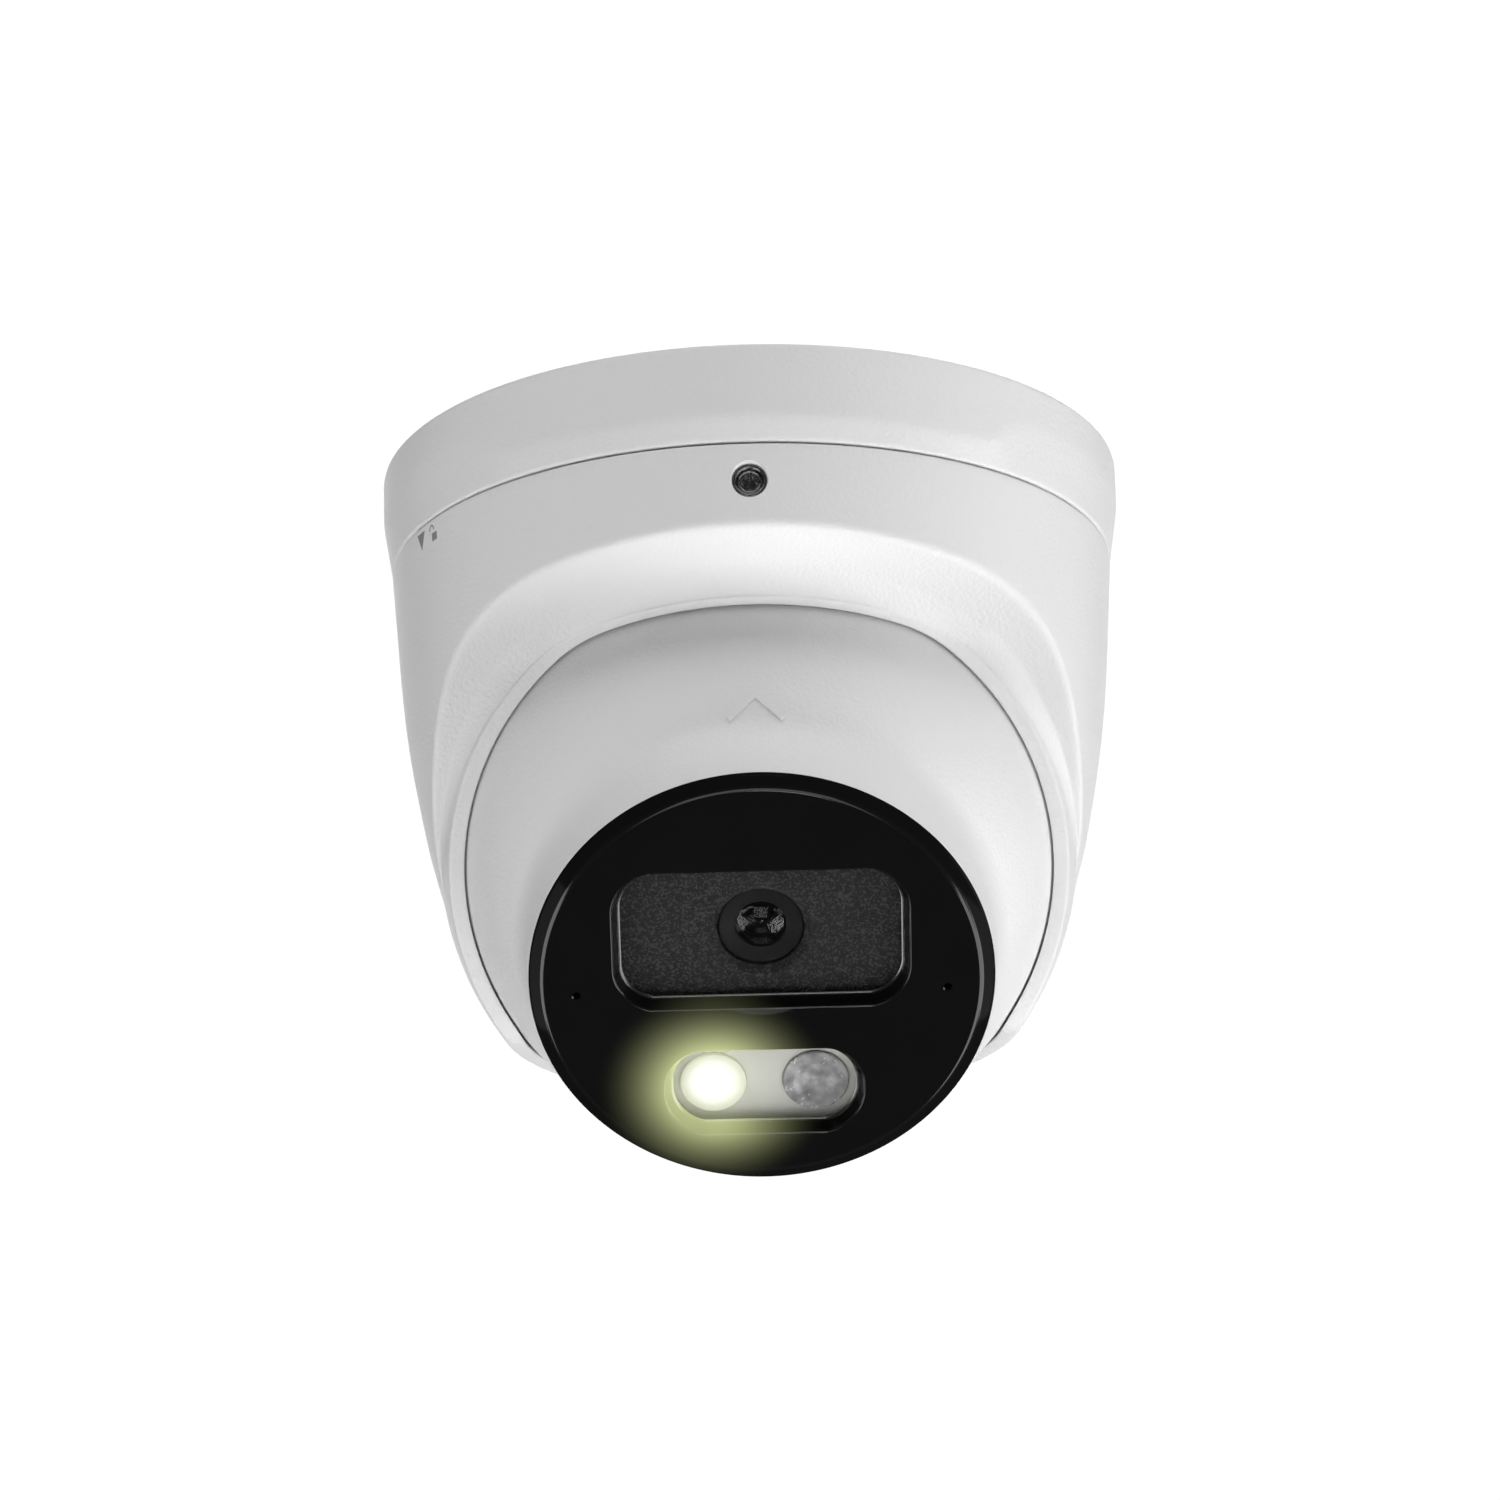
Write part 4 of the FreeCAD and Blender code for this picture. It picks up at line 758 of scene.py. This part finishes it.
def housing_outline(azimuth):
    """The housing cut through at an azimuth: wall, visor's underside, collar, socket, spigot."""
    side = math.sin(azimuth)
    crease_z = crossing(lambda z: z - visor_height(wall_radius(z) * side), WALL_TOP, JOIN)
    crease = Vector((wall_radius(crease_z), crease_z))
    has_ledge = crease_z > JOIN + 0.01
    root = collar_root(crease, side) if has_ledge else crease.copy()
    ledge = max(crease.x - root.x, 0.0)
    lip = sphere_place(COLLAR, opening_cut(COLLAR, side, min(root.y, WALL_TOP)))
    inner = sphere_place(SOCKET, opening_cut(SOCKET, side, WALL_TOP))

    def on_ledge(share):
        radius = crease.x + (root.x - crease.x) * share
        if not has_ledge:
            return crease.copy()
        return Vector((radius, visor_height(radius * side)))

    def down_sphere(radius, first, last, steps):
        return [sphere_place(radius, first + (last - first) * step / steps) for step in range(1, steps + 1)]

    points = [Vector((58.9, -16.4)), Vector((59.3, -16.45)), Vector((59.5, -16.65))]
    points.append(Vector((wall_radius(WALL_TOP), WALL_TOP)))
    start_z = crease_z + min(1.3, 0.3 * (WALL_TOP - crease_z))
    for step in range(1, 17):
        z = WALL_TOP + (start_z - WALL_TOP) * step / 16
        points.append(Vector((wall_radius(z), z)))

    # The ledge, from the visor's crease to where it runs into the collar
    share = min(1.3, 0.35 * ledge) / ledge if ledge > 0.01 else 0.0
    points += bend_points(points[-1], crease, on_ledge(share), 6)[1:]
    foot_share = 1 - min(5.0, 0.33 * ledge) / ledge if ledge > 0.01 else 1.0
    points += [on_ledge(share + (foot_share - share) * step / 8) for step in range(1, 9)]

    # The collar, and its edge round the opening
    strip = root.y - lip.y
    drop = min(2.8, 0.9 * strip)
    after = sphere_place(COLLAR, root.y - drop)
    filled = root.lerp((points[-1] + after) / 2, 0.72)
    points += bend_points(points[-1], filled, after, 9)[1:]
    points += down_sphere(COLLAR, root.y - drop, lip.y + min(0.55, 0.25 * strip), 12)
    across = inner - lip
    points += bend_points(points[-1], lip, lip + across * 0.25, 4)[1:]
    inner_start = inner.y + 0.5
    points += bend_points(lip + across * 0.75, inner, sphere_place(SOCKET, inner_start), 4)

    # The socket inside, the hollow behind the visor, and the spigot
    top_z = max(visor_inside(side), SOCKET_TOP, inner.y + 1.0)
    points += down_sphere(SOCKET, inner_start, top_z, 10)
    hollow_z = min(top_z + 1.0, -20.0)
    wall_z = min(max(hollow_z, crease_z + 3.0), -20.0)
    points += [Vector((wall_radius(wall_z) - WALL_THICK, wall_z)),
               Vector((wall_radius(-20.0) - WALL_THICK, -19.5)), Vector((57.0, -18.8)),
               Vector((55.0, -18.8)), Vector((55.0, -10.2)), Vector((56.8, -10.2)), Vector((56.8, -16.4))]
    return points


def sphere_place(radius, z):
    return Vector((globe_radius(radius, z), z))


def opening_cut(radius, side, high):
    """Height at which the opening's edge crosses a sphere round the ball."""
    return crossing(lambda z: z - opening_height(globe_radius(radius, z) * side), high, LOWEST)


def collar_root(crease, side):
    """Where the visor's underside, followed inwards, meets the collar."""
    low, high = 20.0, crease.x
    for _ in range(40):
        middle = (low + high) / 2
        if middle > globe_radius(COLLAR, visor_height(middle * side)):
            high = middle
        else:
            low = middle
    return Vector((high, visor_height(high * side)))


def visor_inside(side):
    """Height at which the visor's inner face meets the socket, 2.3 mm above its underside."""
    return crossing(lambda z: z - 2.3 - visor_height(globe_radius(SOCKET, z) * side), WALL_TOP, SOCKET_TOP)


outlines = {}


def kept_outline(azimuth):
    key = round(azimuth, 6)
    if key not in outlines:
        outlines[key] = housing_outline(azimuth)
    return outlines[key]


def make_housing():
    rows = len(kept_outline(-math.pi / 2))
    housing = curtain("housing_casting", rows, kept_outline, 384)
    hole = rod("hole", 2.85, 50, 59.0, (0, 0), 64, flare=0.35)
    moved(hole, SCREW_LINE)
    cut(housing, hole)
    finished(housing, "pan_unit", paint, ["housing"])


# The ball's front shell


NECK_BEND = (Vector((39.75, 29.5)), Vector((37.75, 32.19)), Vector((37.45, 36.5)))
NECK = [tuple(place) for place in bend_points(*NECK_BEND, 20)]
SHELL_INSIDE = 46.9
SHELL_SPLIT = -5.0


def shell_radius(height):
    """Radius of the ball's skin at a height along the lens axis, up to the end of the neck's bend."""
    if height < NECK[0][1]:
        return on_globe(BALL_RADIUS, height)
    number = bisect.bisect([z for _, z in NECK], height)
    (r0, z0), (r1, z1) = NECK[number - 1], NECK[number]
    return r0 + (r1 - r0) * (height - z0) / (z1 - z0)


def make_front_shell():
    edge = [(on_globe(BALL_RADIUS, SHELL_SPLIT) - 0.25, SHELL_SPLIT)]
    outside = arc_side(BALL_RADIUS, SHELL_SPLIT + 0.3, 29.2, 34)
    rim = [(37.0, 42.75), (36.85, 43.0), (34.6, 43.0)]
    inside = arc_side(SHELL_INSIDE, on_globe(SHELL_INSIDE, 34.6), SHELL_SPLIT, 16)
    shell = spun("ball_front_shell", edge + outside + NECK + rim + inside, 288)
    seat = block("seat", (0, -50.0, 16.0), (25.4, 20.0, 14.4))
    nothing_selected()
    bpy.ops.mesh.primitive_uv_sphere_add(segments=128, ring_count=96, radius=48.1 * MM)
    cut(shell, cut(seat, named("seat_floor")))
    finished(shell, "camera_ball", paint, ["front_shell"], BALL)


def make_up_mark():
    """A small raised chevron on the side of the ball that faces up."""
    for label, lean in (("left", -1), ("right", 1)):
        nothing_selected()
        bpy.ops.mesh.primitive_grid_add(x_subdivisions=18, y_subdivisions=4, size=1)
        bar = named("up_mark_" + label)
        bpy.ops.object.mode_set(mode="EDIT")
        bpy.ops.mesh.select_all(action="SELECT")
        bpy.ops.mesh.extrude_region_move(TRANSFORM_OT_translate={"value": (0, 0, 1)})
        bpy.ops.mesh.select_all(action="SELECT")
        bpy.ops.mesh.normals_make_consistent(inside=False)
        bpy.ops.object.mode_set(mode="OBJECT")
        for vertex in bar.data.vertices:
            raised = vertex.co.z > 0.5
            trim = 0.86 if raised else 1.0
            along = vertex.co.x * 5.6 * (0.97 if raised else 1.0)
            wide = vertex.co.y * 1.15 * trim
            turn = math.radians(38) * lean
            u = lean * 2.2 + along * math.cos(turn) - wide * math.sin(turn)
            w = 28.2 + along * math.sin(turn) + wide * math.cos(turn)
            v = math.sqrt(shell_radius(w) ** 2 - u * u)
            lift = 1 + ((0.3 if raised else -0.2) / BALL_RADIUS)
            vertex.co = Vector((u, v, w)) * lift * MM
        face_outward(bar)
        finished(bar, "camera_ball", paint, (), BALL)


# The black face with its two windows


def window_tool(name, width, height, corner, bow, middle, levels):
    """The space of a window: a bowed outline let in step by step as (inset, depth) pairs."""
    sides = 128
    nothing_selected()
    bpy.ops.mesh.primitive_circle_add(vertices=sides, radius=MM, fill_type="NGON")
    tool = named(name)
    outline = window_outline(width, height, corner, bow, sides)
    for vertex, (x, y) in zip(tool.data.vertices, outline):
        vertex.co = Vector((x, y + middle[0], middle[1])) * MM
    bpy.ops.object.mode_set(mode="EDIT")
    bpy.ops.mesh.select_mode(type="FACE")
    bpy.ops.mesh.select_all(action="SELECT")
    for inset, depth in levels:
        if inset:
            bpy.ops.mesh.inset(thickness=inset * MM, depth=-depth * MM)
        else:
            bpy.ops.mesh.extrude_region_move(TRANSFORM_OT_translate={"value": (0, 0, -depth * MM)})
    bpy.ops.mesh.select_mode(type="EDGE")
    bpy.ops.mesh.select_all(action="DESELECT")
    bpy.ops.mesh.select_non_manifold()
    bpy.ops.mesh.edge_face_add()
    bpy.ops.mesh.select_all(action="SELECT")
    bpy.ops.mesh.normals_make_consistent(inside=False)
    bpy.ops.object.mode_set(mode="OBJECT")
    return tool


def window_outline(width, height, corner, bow, sides):
    """Points round a rectangle with round corners, whose long sides bow out a little."""
    half_w = width / 2
    half_h = height / 2
    flat_w = half_w - corner
    flat_h = half_h - corner
    path = []
    for quarter in range(4):
        cx = flat_w if quarter in (0, 3) else -flat_w
        cy = flat_h if quarter in (0, 1) else -flat_h
        for step in range(sides // 4):
            angle = math.radians(90 * quarter + 90 * step / (sides // 4 - 1))
            path.append([cx + corner * math.cos(angle), cy + corner * math.sin(angle)])
    for place in path:
        side = 0 if place[1] > 0 else 1
        place[1] -= math.copysign(bow[side] * (place[0] / half_w) ** 2, place[1])
    return path


FRONT = 44.5
LENS_HEIGHT = 7.5
LIGHT_HEIGHT = -20.4
EDGE = [(0, 0.3), (0.12, 0.03), (0.1, 0.08), (0.08, 0.12), (0.05, 0.15)]
WINDOW_WALL = [(0.75, 1.65), (0.1, 0.17), (0.14, 0.13), (0.17, 0.08), (0, 0.5)]


def make_face():
    rim = [(33.9, FRONT), (34.3, FRONT - 0.01), (34.55, FRONT - 0.06), (34.8, FRONT - 0.16),
           (35.0, FRONT - 0.3), (36.5, 43.5), (36.75, 43.3), (36.85, 43.02)]
    outline = [(0, FRONT)] + rim + [(34.4, 43.02), (34.4, 40.5), (32.4, 40.5), (32.4, 42.0), (0, 42.0)]
    face = spun("black_face", outline, 320)
    start = FRONT + 0.3
    lens = window_tool("lens_space", 47.3, 27.6, 6.3, (2.2, 2.4), (7.6, start), EDGE + WINDOW_WALL)
    light = window_tool("light_space", 32.1, 16.9, 6.3, (0.7, 2.2), (LIGHT_HEIGHT, start), EDGE + WINDOW_WALL)
    cut(face, lens, light)
    for side in (-1, 1):
        cut(face, rod("hole", 0.6, 41, 44.3, (29.3 * side, -1.7), 32, flare=0.15))
    for material in (finish["black_gloss"], edge_gloss, line_gloss):
        face.data.materials.append(material)
    for polygon in face.data.polygons:
        height = polygon.center.z / MM
        if polygon.normal.z > 0.999:
            continue
        if height > FRONT - 0.34:
            polygon.material_index = 1
        elif 42.09 < height < 42.47 and polygon.center.xy.length < 32.4 * MM:
            polygon.material_index = 2
    finished(face, "camera_ball", finish["black_gloss"], ["face_cover"], BALL, 32)


# The lens


def make_lens_plate():
    """The flaked plate round the lens, its hole opened out by a countersink."""
    nothing_selected()
    bpy.ops.mesh.primitive_circle_add(vertices=96, radius=MM, fill_type="NGON")
    plate = named("lens_plate")
    for vertex, (x, y) in zip(plate.data.vertices, window_outline(45.0, 25.0, 5.0, (0, 0), 96)):
        vertex.co = Vector((x, y + LENS_HEIGHT, 39.4)) * MM
    bpy.ops.object.mode_set(mode="EDIT")
    bpy.ops.mesh.select_all(action="SELECT")
    bpy.ops.mesh.extrude_region_move(TRANSFORM_OT_translate={"value": (0, 0, 1.4 * MM)})
    bpy.ops.object.mode_set(mode="OBJECT")
    face_outward(plate)
    cut(plate, rod("hole", 6.95, 38.0, 39.8, (0, LENS_HEIGHT), 128, flare=1.0))
    finished(plate, "camera_ball", finish["sparkle_grey"], ["lens_mask"], BALL, 30)


def lens_dome(apex, radius, reach, steps):
    """The outline of a domed glass, from its apex out to its edge."""
    widest = math.asin(reach / radius)
    angles = [widest * step / steps for step in range(steps + 1)]
    return [(radius * math.sin(angle), apex - radius + radius * math.cos(angle)) for angle in angles]


def make_lens():
    middle = BALL @ Matrix.Translation((0, LENS_HEIGHT * MM, 0))
    barrel = [(4.1, 38.5, 0.1), (4.1, 38.85, 0.1), (6.5, 39.4, 0.25), (6.85, 39.2, 0.1), (6.85, 38.4, 0.1),
              (6.0, 38.3, 0), (6.0, 20.0, 0.2), (3.4, 20.0, 0.2), (3.4, 32.2, 0.1), (0.9, 32.4, 0.05),
              (0.9, 32.7, 0.05), (2.3, 33.0, 0.1), (2.3, 34.6, 0.1), (3.0, 35.0, 0.1), (3.0, 36.0, 0.1),
              (3.3, 36.4, 0.1), (3.3, 37.5, 0.1), (4.05, 37.8, 0)]
    rings = spun("lens_barrel_rings", soft(barrel, 3), 128)
    finished(rings, "camera_ball", finish["dark_plastic"], ["lens_barrel"], middle)
    front = lens_dome(39.6, 7.4, 4.0, 12) + [(4.0, 37.9), (3.2, 37.95), (2.2, 37.5), (1.2, 37.3), (0, 37.2)]
    glass = spun("lens_front_glass", front, 96)
    finished(glass, "camera_ball", finish["lens_glass"], ["front_lens"], middle)
    second = lens_dome(34.6, 3.6, 2.25, 8) + [(2.25, 33.0), (0, 33.0)]
    inner = spun("lens_inner_glass", second, 64)
    finished(inner, "camera_ball", finish["lens_glass"], (), middle)


# The lights

OPTIC = [(0, 39.7), (1.2, 39.75), (2.4, 40.1), (3.2, 40.62), (3.9, 40.7), (5.1, 40.7), (5.3, 40.5),
         (5.15, 40.1), (4.2, 38.3), (3.2, 36.9), (2.6, 36.25), (1.9, 36.2), (1.7, 36.9), (1.2, 37.5),
         (0, 37.8)]
LIGHT_SIDE = 8.2


def make_optic(name, node, x, material):
    """A small moulded optic: a dished front, a stepped cone, and a hollow over its chip."""
    optic = spun(name, OPTIC, 96)
    middle = BALL @ Matrix.Translation((x * MM, LIGHT_HEIGHT * MM, 0))
    finished(optic, "camera_ball", material, [node], middle)


def make_lights():
    glowing = lamp_finish("lit_optic", (1, 1, 0.93, 1), (0.2, 0.22, 0.13, 1), 1.9, 5.6)
    make_optic("optic_white", "white_led_lens", -LIGHT_SIDE, glowing)
    make_optic("optic_infrared", "infrared_led_lens", LIGHT_SIDE, streaked_finish("optic_streaked"))


# Printed marks on the housing


def wrapped(name, flat_points, azimuth, height):
    """A flat printed shape laid on the housing's wall, a few hundredths proud."""
    nothing_selected()
    bpy.ops.mesh.primitive_circle_add(vertices=len(flat_points), radius=MM, fill_type="NGON")
    mark = named(name)
    for vertex, (x, y) in zip(mark.data.vertices, flat_points):
        vertex.co = Vector((x, y, 0)) * MM
    bpy.ops.object.mode_set(mode="EDIT")
    bpy.ops.mesh.select_all(action="SELECT")
    bpy.ops.mesh.extrude_region_move(TRANSFORM_OT_translate={"value": (0, 0, 0.05 * MM)})
    bpy.ops.mesh.select_all(action="SELECT")
    bpy.ops.mesh.normals_make_consistent(inside=False)
    bpy.ops.object.mode_set(mode="OBJECT")
    for vertex in mark.data.vertices:
        x, y, lift = vertex.co / MM
        z = height + y
        radius = wall_radius(z) - 0.02 + lift
        angle = math.radians(azimuth) + x / radius
        vertex.co = Vector((radius * math.cos(angle), radius * math.sin(angle), z)) * MM
    return mark


def make_marks():
    lock_azimuth = FRONT_AZIMUTH - 59.4
    triangle = [(-1.45, 1.4), (0, -1.5), (1.45, 1.4)]
    lock_body = [(-0.8, 0.5), (-0.8, -0.8), (0.8, -0.8), (0.8, 0.5)]
    shackle = []
    for radius, steps in ((1.0, range(0, 11)), (0.72, range(10, -1, -1))):
        for step in steps:
            angle = math.radians(180 * step / 10)
            shackle.append((-0.75 + radius * math.cos(angle) * 0.8, 1.0 + radius * math.sin(angle)))
    for name, shape, azimuth, height in (
        ("mark_triangle", triangle, FRONT_AZIMUTH - 64.0, -18.9),
        ("mark_lock_body", lock_body, lock_azimuth, -19.4),
        ("mark_lock_loop", shackle, lock_azimuth, -19.4),
    ):
        finished(wrapped(name, shape, azimuth, height), "pan_unit", print_grey)


# The locking screw


def make_screw():
    """A short set screw with a rounded rim and a star drive, in its threaded sleeve."""
    outline = [(0, 51.4, 0), (1.2, 51.4, 0.2), (2.0, 52.2, 0.2), (2.0, 58.3, 0.3), (1.75, 58.3, 0.1),
               (1.62, 58.15, 0.1), (0, 58.15, 0)]
    screw = spun("locking_set_screw", soft(outline, 3), 64)
    star = rod("star", 1.0, 56.7, 60, (0, 0), 48)
    petals = []
    for number in range(6):
        angle = math.radians(60 * number)
        petals.append(rod("petal", 0.44, 56.7, 60, (1.14 * math.cos(angle), 1.14 * math.sin(angle)), 24))
    cut(star, *petals, how="UNION")
    cut(screw, star)
    finished(screw, "locking_screw", finish["dark_steel"], ["lock_screw"], SCREW_LINE, 30)
    sleeve = [(2.05, 53.6, 0.1), (2.8, 53.6, 0.1), (2.8, 58.8, 0.2), (2.3, 58.8, 0.15), (2.05, 58.4, 0.1)]
    insert = spun("threaded_sleeve", soft(sleeve, 3), 64)
    finished(insert, "pan_unit", finish["dark_steel"], ["lock_screw_insert"], SCREW_LINE)


make_base()
make_housing()
make_front_shell()
make_up_mark()
make_face()
make_lens_plate()
make_lens()
make_lights()
make_marks()
make_screw()


# Studio: a pale floor far below, soft lights and a bright surround


def make_studio():
    nothing_selected()
    bpy.ops.mesh.primitive_plane_add(size=14, location=(0, 0, -1.6))
    floor = named("floor")
    floor_tones = (grey(0.2), grey(0.19))
    floor_finish = solid_finish("pale_floor", floor_tones, (0.75, 0.85), (60.0, 0.2), 3.0, level=0.2)
    shader = floor_finish.node_tree.nodes["Principled BSDF"]
    shader.inputs["Emission Color"].default_value = grey(1.0)
    shader.inputs["Emission Strength"].default_value = 0.8
    floor.data.materials.append(floor_finish)
    floor.visible_diffuse = False
    floor.visible_glossy = False
    floor.visible_transmission = False
    world = bpy.data.worlds.new("surround")
    bpy.context.scene.world = world
    world.use_nodes = True
    tree = world.node_tree
    surround = tree.nodes["Background"]
    surround.inputs["Color"].default_value = grey(1.0)
    place = tree.nodes.new("ShaderNodeTexCoord")
    split = tree.nodes.new("ShaderNodeSeparateXYZ")
    fade = tree.nodes.new("ShaderNodeMapRange")
    fade.inputs["From Min"].default_value = -0.5
    fade.inputs["From Max"].default_value = 0.9
    fade.inputs["To Min"].default_value = 0.06
    fade.inputs["To Max"].default_value = 0.04
    tree.links.new(place.outputs["Generated"], split.inputs["Vector"])
    tree.links.new(split.outputs["Z"], fade.inputs["Value"])
    tree.links.new(fade.outputs["Result"], surround.inputs["Strength"])
    seen = tree.nodes.new("ShaderNodeBackground")
    seen.inputs["Color"].default_value = grey(1.0)
    seen.inputs["Strength"].default_value = 1.05
    path = tree.nodes.new("ShaderNodeLightPath")
    mix = tree.nodes.new("ShaderNodeMixShader")
    tree.links.new(path.outputs["Is Camera Ray"], mix.inputs["Fac"])
    tree.links.new(surround.outputs["Background"], mix.inputs[1])
    tree.links.new(seen.outputs["Background"], mix.inputs[2])
    tree.links.new(mix.outputs["Shader"], tree.nodes["World Output"].inputs["Surface"])


def soft_light(name, place, size, watts, aim=(0, 0, -0.06)):
    lamp = bpy.data.lights.new(name, "AREA")
    lamp.shape = "RECTANGLE"
    lamp.size, lamp.size_y = size
    lamp.energy = watts
    holder = bpy.data.objects.new(name, lamp)
    holder.location = place
    holder.rotation_euler = (Vector(place) - Vector(aim)).to_track_quat("Z", "Y").to_euler()
    holder.visible_camera = False
    bpy.context.scene.collection.objects.link(holder)


def make_camera():
    camera = bpy.data.cameras.new("camera")
    camera.sensor_width = 36
    camera.lens = 150.39
    camera.clip_start = 0.05
    holder = bpy.data.objects.new("camera", camera)
    rise = math.radians(18.922)
    roll = math.radians(1.436)
    right = Vector((1, 0, 0))
    up = Vector((0, -math.sin(rise), math.cos(rise)))
    ahead = Vector((0, math.cos(rise), math.sin(rise)))
    level = right * math.cos(roll) - up * math.sin(roll)
    upright = right * math.sin(roll) + up * math.cos(roll)
    turn = Matrix((level, upright, -ahead)).transposed()
    holder.matrix_world = Matrix.Translation((-0.000996, -0.9764, -0.3818)) @ turn.to_4x4()
    bpy.context.scene.collection.objects.link(holder)
    bpy.context.scene.camera = holder


make_studio()
soft_light("key_light", (0.73, -0.13, -1.12), (0.8, 0.8), 9.6)
soft_light("low_light", (0.0, -1.0, -0.9), (0.8, 0.6), 3.2)
soft_light("left_light", (-0.95, -0.17, -0.93), (0.8, 0.8), 9.0)
soft_light("right_light", (1.25, -0.11, -0.4), (0.8, 0.8), 8.8)
soft_light("upper_light", (0.0, -0.65, 1.07), (2.0, 0.7), 12.5)
soft_light("glint_light", (0.05, -1.5, -0.22), (0.35, 0.25), 2.0)
soft_light("spark_light", (0.05, -0.62, -1.18), (0.12, 0.12), 0.7)
soft_light("rear_light", (-0.1, 1.3, 0.35), (1.2, 1.0), 7.0)
soft_light("top_light", (0.4, 0.5, 1.3), (1.2, 1.0), 5.0)
make_camera()
bpy.context.scene.view_settings.view_transform = "Standard"

nothing_selected()
